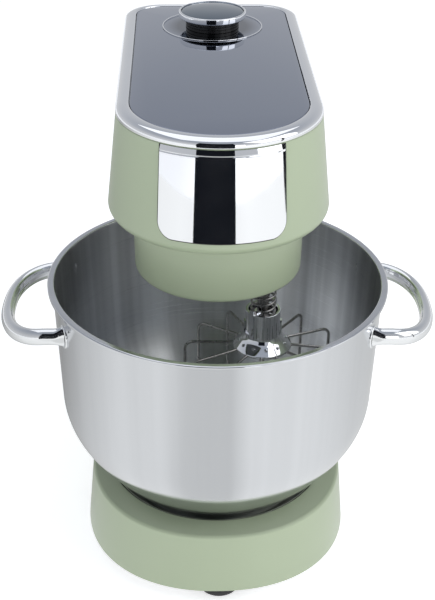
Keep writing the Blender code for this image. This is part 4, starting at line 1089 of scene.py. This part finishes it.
def make_wires():
    for index in range(LOOPS):
        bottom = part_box(f"whisk_wire_{index + 1}")[0].z + WIRE_R
        start = HUB_LOW + 0.0005
        top = start - 0.0015
        bend = 0.007
        side_end = RIM_Z - 0.11
        half = [(CONE_R - 0.0015, start - 0.0001), (CONE_R + 0.0006, start)]
        half += [(mix(CONE_R, CAGE_R - bend, t), mix(start, top, t ** 0.85)) for t in (0.3, 0.6, 0.85)]
        half += arc(bend, 90, 0, 8, (CAGE_R - bend, top - bend))
        for a in quarter(24)[:-1]:
            half.append((CAGE_R * cos(a) ** 0.9, side_end - (side_end - bottom) * sin(a) ** 0.9))
        path = half + [(0, bottom)] + [(-r, z) for r, z in half[::-1]]
        heading = radians(180 * index / LOOPS - 6)
        points = [(WHISK_X + r * cos(heading), AXIS_Y + r * sin(heading), z) for r, z in path]
        name = f"wire_loop_{index + 1}"
        loop = piece(name, tube(points, WIRE_R * 0.98, 12), "whisk", "wire_steel", WIRE)
        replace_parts(loop, f"whisk_wire_{index + 1}")


# ---- finishes for the pieces kept from the frame

KEPT = {
    "base_bottom_plate": STEEL, "column_frame": ALLOY, "chassis_plate": ALLOY,
    "hinge_bush_left": BRASS, "hinge_bush_right": BRASS, "hinge_pin": STEEL, "latch_spring": WIRE,
    "head_latch": STEEL, "gear_housing": ALLOY, "ring_gear": STEEL, "main_bearing": STEEL,
    "main_shaft": STEEL, "drive_belt": RUBBER, "large_pulley": NYLON, "planet_pinion": NYLON,
    "motor_pulley": ALLOY,
    "motor_frame": ALLOY, "motor_stator": SHEETS, "motor_armature": COPPER, "motor_shaft": STEEL,
    "brush_holder_left": BRASS, "brush_holder_right": BRASS, "cooling_fan": DULL_BLACK,
    "control_board": BOARD, "speed_switch": DULL_BLACK, "planet_bearing": BRASS,
}


def finish_kept():
    for node, material in KEPT.items():
        data = NODES[node].data
        data.materials.clear()
        data.materials.append(material)
        data.shade_smooth()
        data.set_sharp_from_angle(angle=radians(35))


# ---- studio and camera


FLOOR_SIZE = 40
STRIP_Z = FLOOR_Z + 0.0004
CARD_AWAY = 1.05
CARD_TOP = 1.3


def staged(name, shape, paint):
    """A part of the stage, which isn't part of the mixer."""
    mesh = bpy.data.meshes.new(name)
    shape.to_mesh(mesh)
    shape.free()
    mesh.materials.append(paint.material)
    thing = placed(name, mesh)
    return thing


def make_floor():
    shape = bmesh.new()
    bmesh.ops.create_grid(shape, x_segments=1, y_segments=1, size=FLOOR_SIZE)
    bmesh.ops.translate(shape, verts=shape.verts, vec=(0, 0, FLOOR_Z - 0.0002))
    paint = Paint("floor_white", (0.93, 0.93, 0.93), 0.9, Specular_IOR_Level=0)
    paint.set(Emission_Color=(1, 1, 1, 1), Emission_Strength=0.55)
    staged("floor", shape, paint)


def make_strip(name, rows, paint):
    """A strip of stage between two rows of points, seen only in reflections."""
    shape = bmesh.new()
    first, second = [[shape.verts.new(point) for point in row] for row in rows]
    for i in range(len(first) - 1):
        shape.faces.new((first[i], first[i + 1], second[i + 1], second[i]))
    strip = staged(name, shape, paint)
    for rays in ("camera", "diffuse", "shadow", "transmission"):
        setattr(strip, "visible_" + rays, False)


def make_reflection_card(name, start, end, bottom):
    """A dark card on an arc round the mixer, seen only in reflections: a painted dark reflection in the
    metal.
    """
    outline = arc(CARD_AWAY, 270 + start, 270 + end, 16, AXIS)
    paint = Paint(name + "_black", (0.008, 0.009, 0.012), 0.9, Specular_IOR_Level=0)
    make_strip(name, [level(outline, bottom), level(outline, CARD_TOP)], paint)


# Brightness of the painted reflection round the bowl, glowing rings seen only in the metal, near the bowl
# and further away, by direction in degrees from the front.
PAINTED_REFLECTION_GREYS = (
    (-180, 0.68, 0.72), (-133, 0.36, 0.4), (-110, 0.56, 0.58), (-97, 0.7, 0.72), (-65, 0.96, 1.00),
    (-38, 1.02, 1.06), (-30, 0.98, 1.04), (-20, 0.81, 1.02), (7, 0.8, 1.02), (18, 1.04, 1.08),
    (27, 1.1, 1.12), (63, 1.06, 1.09), (100, 0.84, 0.88), (125, 0.7, 0.74), (180, 0.68, 0.72),
)


def make_painted_reflection_ring(name, near, far, stops):
    """A glowing ring round the bowl, seen only in reflections: a painted reflection of the floor, darker in
    some directions.
    """
    # Painted reflection: an emission colour set by direction round the bowl, which only the metal shows.
    paint = Paint(name + "_glow", (0, 0, 0), 1, Specular_IOR_Level=0, Emission_Strength=1)
    parts = paint.split(paint.around(*AXIS))
    angle = paint.number("ARCTAN2", parts["X"], paint.number("MULTIPLY", parts["Y"], -1))
    turn = paint.spread(angle, 0, 1, -pi, pi)
    glow = paint.node("ValToRGB", {"Fac": turn})["Color"]
    marks = glow.node.color_ramp.elements
    for turn, grey in stops[1:-1]:
        marks.new((turn + 180) / 360).color = (grey * 0.98, grey * 0.995, grey, 1)
    for mark, (_, grey) in ((marks[0], stops[0]), (marks[-1], stops[-1])):
        mark.color = (grey, grey, grey, 1)
    paint.set(Emission_Color=glow)
    make_strip(name, [level(arc(distance, 0, 360, 96, AXIS), STRIP_Z) for distance in (near, far)], paint)


SKY = ((0, (0.9, 0.91, 0.93, 1)), (0.9, (0.42, 0.46, 0.54, 1)))     # from level to straight up
SKY_STRENGTH = 0.75
LIGHTS_AIM = Vector((0, 0, 0.25))
LIGHTS = (                 # name, place, width, height, watts, colour
    ("key", (1.45, -0.75, 1.3), 1.7, 1.7, 11, (1, 0.995, 0.98)),
    ("fill", (0.1, -2.1, 0.35), 1.6, 0.6, 8, (0.97, 0.985, 1)),
    ("top", (0, 0.35, 1.9), 1.8, 1.8, 8, (1, 1, 1)),
)


def make_light(name, place, width, height, power, colour):
    data = bpy.data.lights.new(name, "AREA")
    data.shape = "RECTANGLE"
    data.size, data.size_y = width, height
    data.energy = power
    data.color = colour
    lamp = placed(name, data)
    lamp.location = place
    lamp.rotation_euler = (LIGHTS_AIM - Vector(place)).to_track_quat("-Z", "Y").to_euler()
    lamp.visible_camera = False


def make_world():
    world = bpy.data.worlds.new("studio")
    bpy.context.scene.world = world
    world.use_nodes = True
    tree = world.node_tree
    up = add_node(tree, "SeparateXYZ", {"Vector": add_node(tree, "TexCoord", {})["Generated"]})["Z"]
    sky = add_node(tree, "ValToRGB", {"Fac": up})["Color"]
    for mark, (position, colour) in zip(sky.node.color_ramp.elements, SKY):
        mark.position = position
        mark.color = colour
    feed(tree, tree.nodes["Background"], {"Color": sky, "Strength": SKY_STRENGTH})


def make_studio():
    make_floor()
    make_world()
    for light in LIGHTS:
        make_light(*light)
    # Painted reflection: dark cards that only the metal shows, for dark bands in it.
    make_reflection_card("camera_gap", -25.5, 14, 0)
    make_reflection_card("side_gap", 64.5, 67.5, 0.06)
    # Painted reflection: two glowing rings that only the metal shows, for the light and dark bands in the
    # bowl.
    make_painted_reflection_ring("painted_reflection_near", 0.115, 0.5, [(turn, near) for turn, near, far in PAINTED_REFLECTION_GREYS])
    make_painted_reflection_ring("painted_reflection_far", 0.5, 1.6, [(turn, far) for turn, near, far in PAINTED_REFLECTION_GREYS])


CAMERA_BACK = 0.8456       # from the bowl's axis
CAMERA_RISE = 0.4646       # above the bowl's rim
CAMERA_TURN = radians(-2.2)
CAMERA_DIP = radians(30.006)
CAMERA_ROLL = radians(0.6)
CAMERA_LENS = 72         # millimetres, as is the sensor's width
CAMERA_SENSOR = 36


def make_camera():
    data = bpy.data.cameras.new("camera")
    data.lens = CAMERA_LENS
    data.sensor_width = CAMERA_SENSOR
    camera = placed("camera", data)
    camera.location = (sin(CAMERA_TURN) * CAMERA_BACK, AXIS_Y - cos(CAMERA_TURN) * CAMERA_BACK,
                       RIM_Z + CAMERA_RISE)
    look = Matrix.Rotation(CAMERA_TURN, 3, "Z") @ Matrix.Rotation(pi / 2 - CAMERA_DIP, 3, "X")
    camera.rotation_euler = (look @ Matrix.Rotation(CAMERA_ROLL, 3, "Z")).to_euler()
    bpy.context.scene.camera = camera


# ---- build

make_camera()
make_base()
make_seat()
make_column()
make_lever()
make_head_shell()
make_bezel()
make_glass()
make_front_plate()
make_collar()
make_knob()
make_carrier()
make_shaft()
make_hub()
make_wires()
make_bowl()
for handle, direction in (("bowl_handle_left", -1), ("bowl_handle_right", 1)):
    make_handle(handle, direction)
finish_kept()
make_studio()
bpy.context.scene.view_settings.view_transform = "Standard"
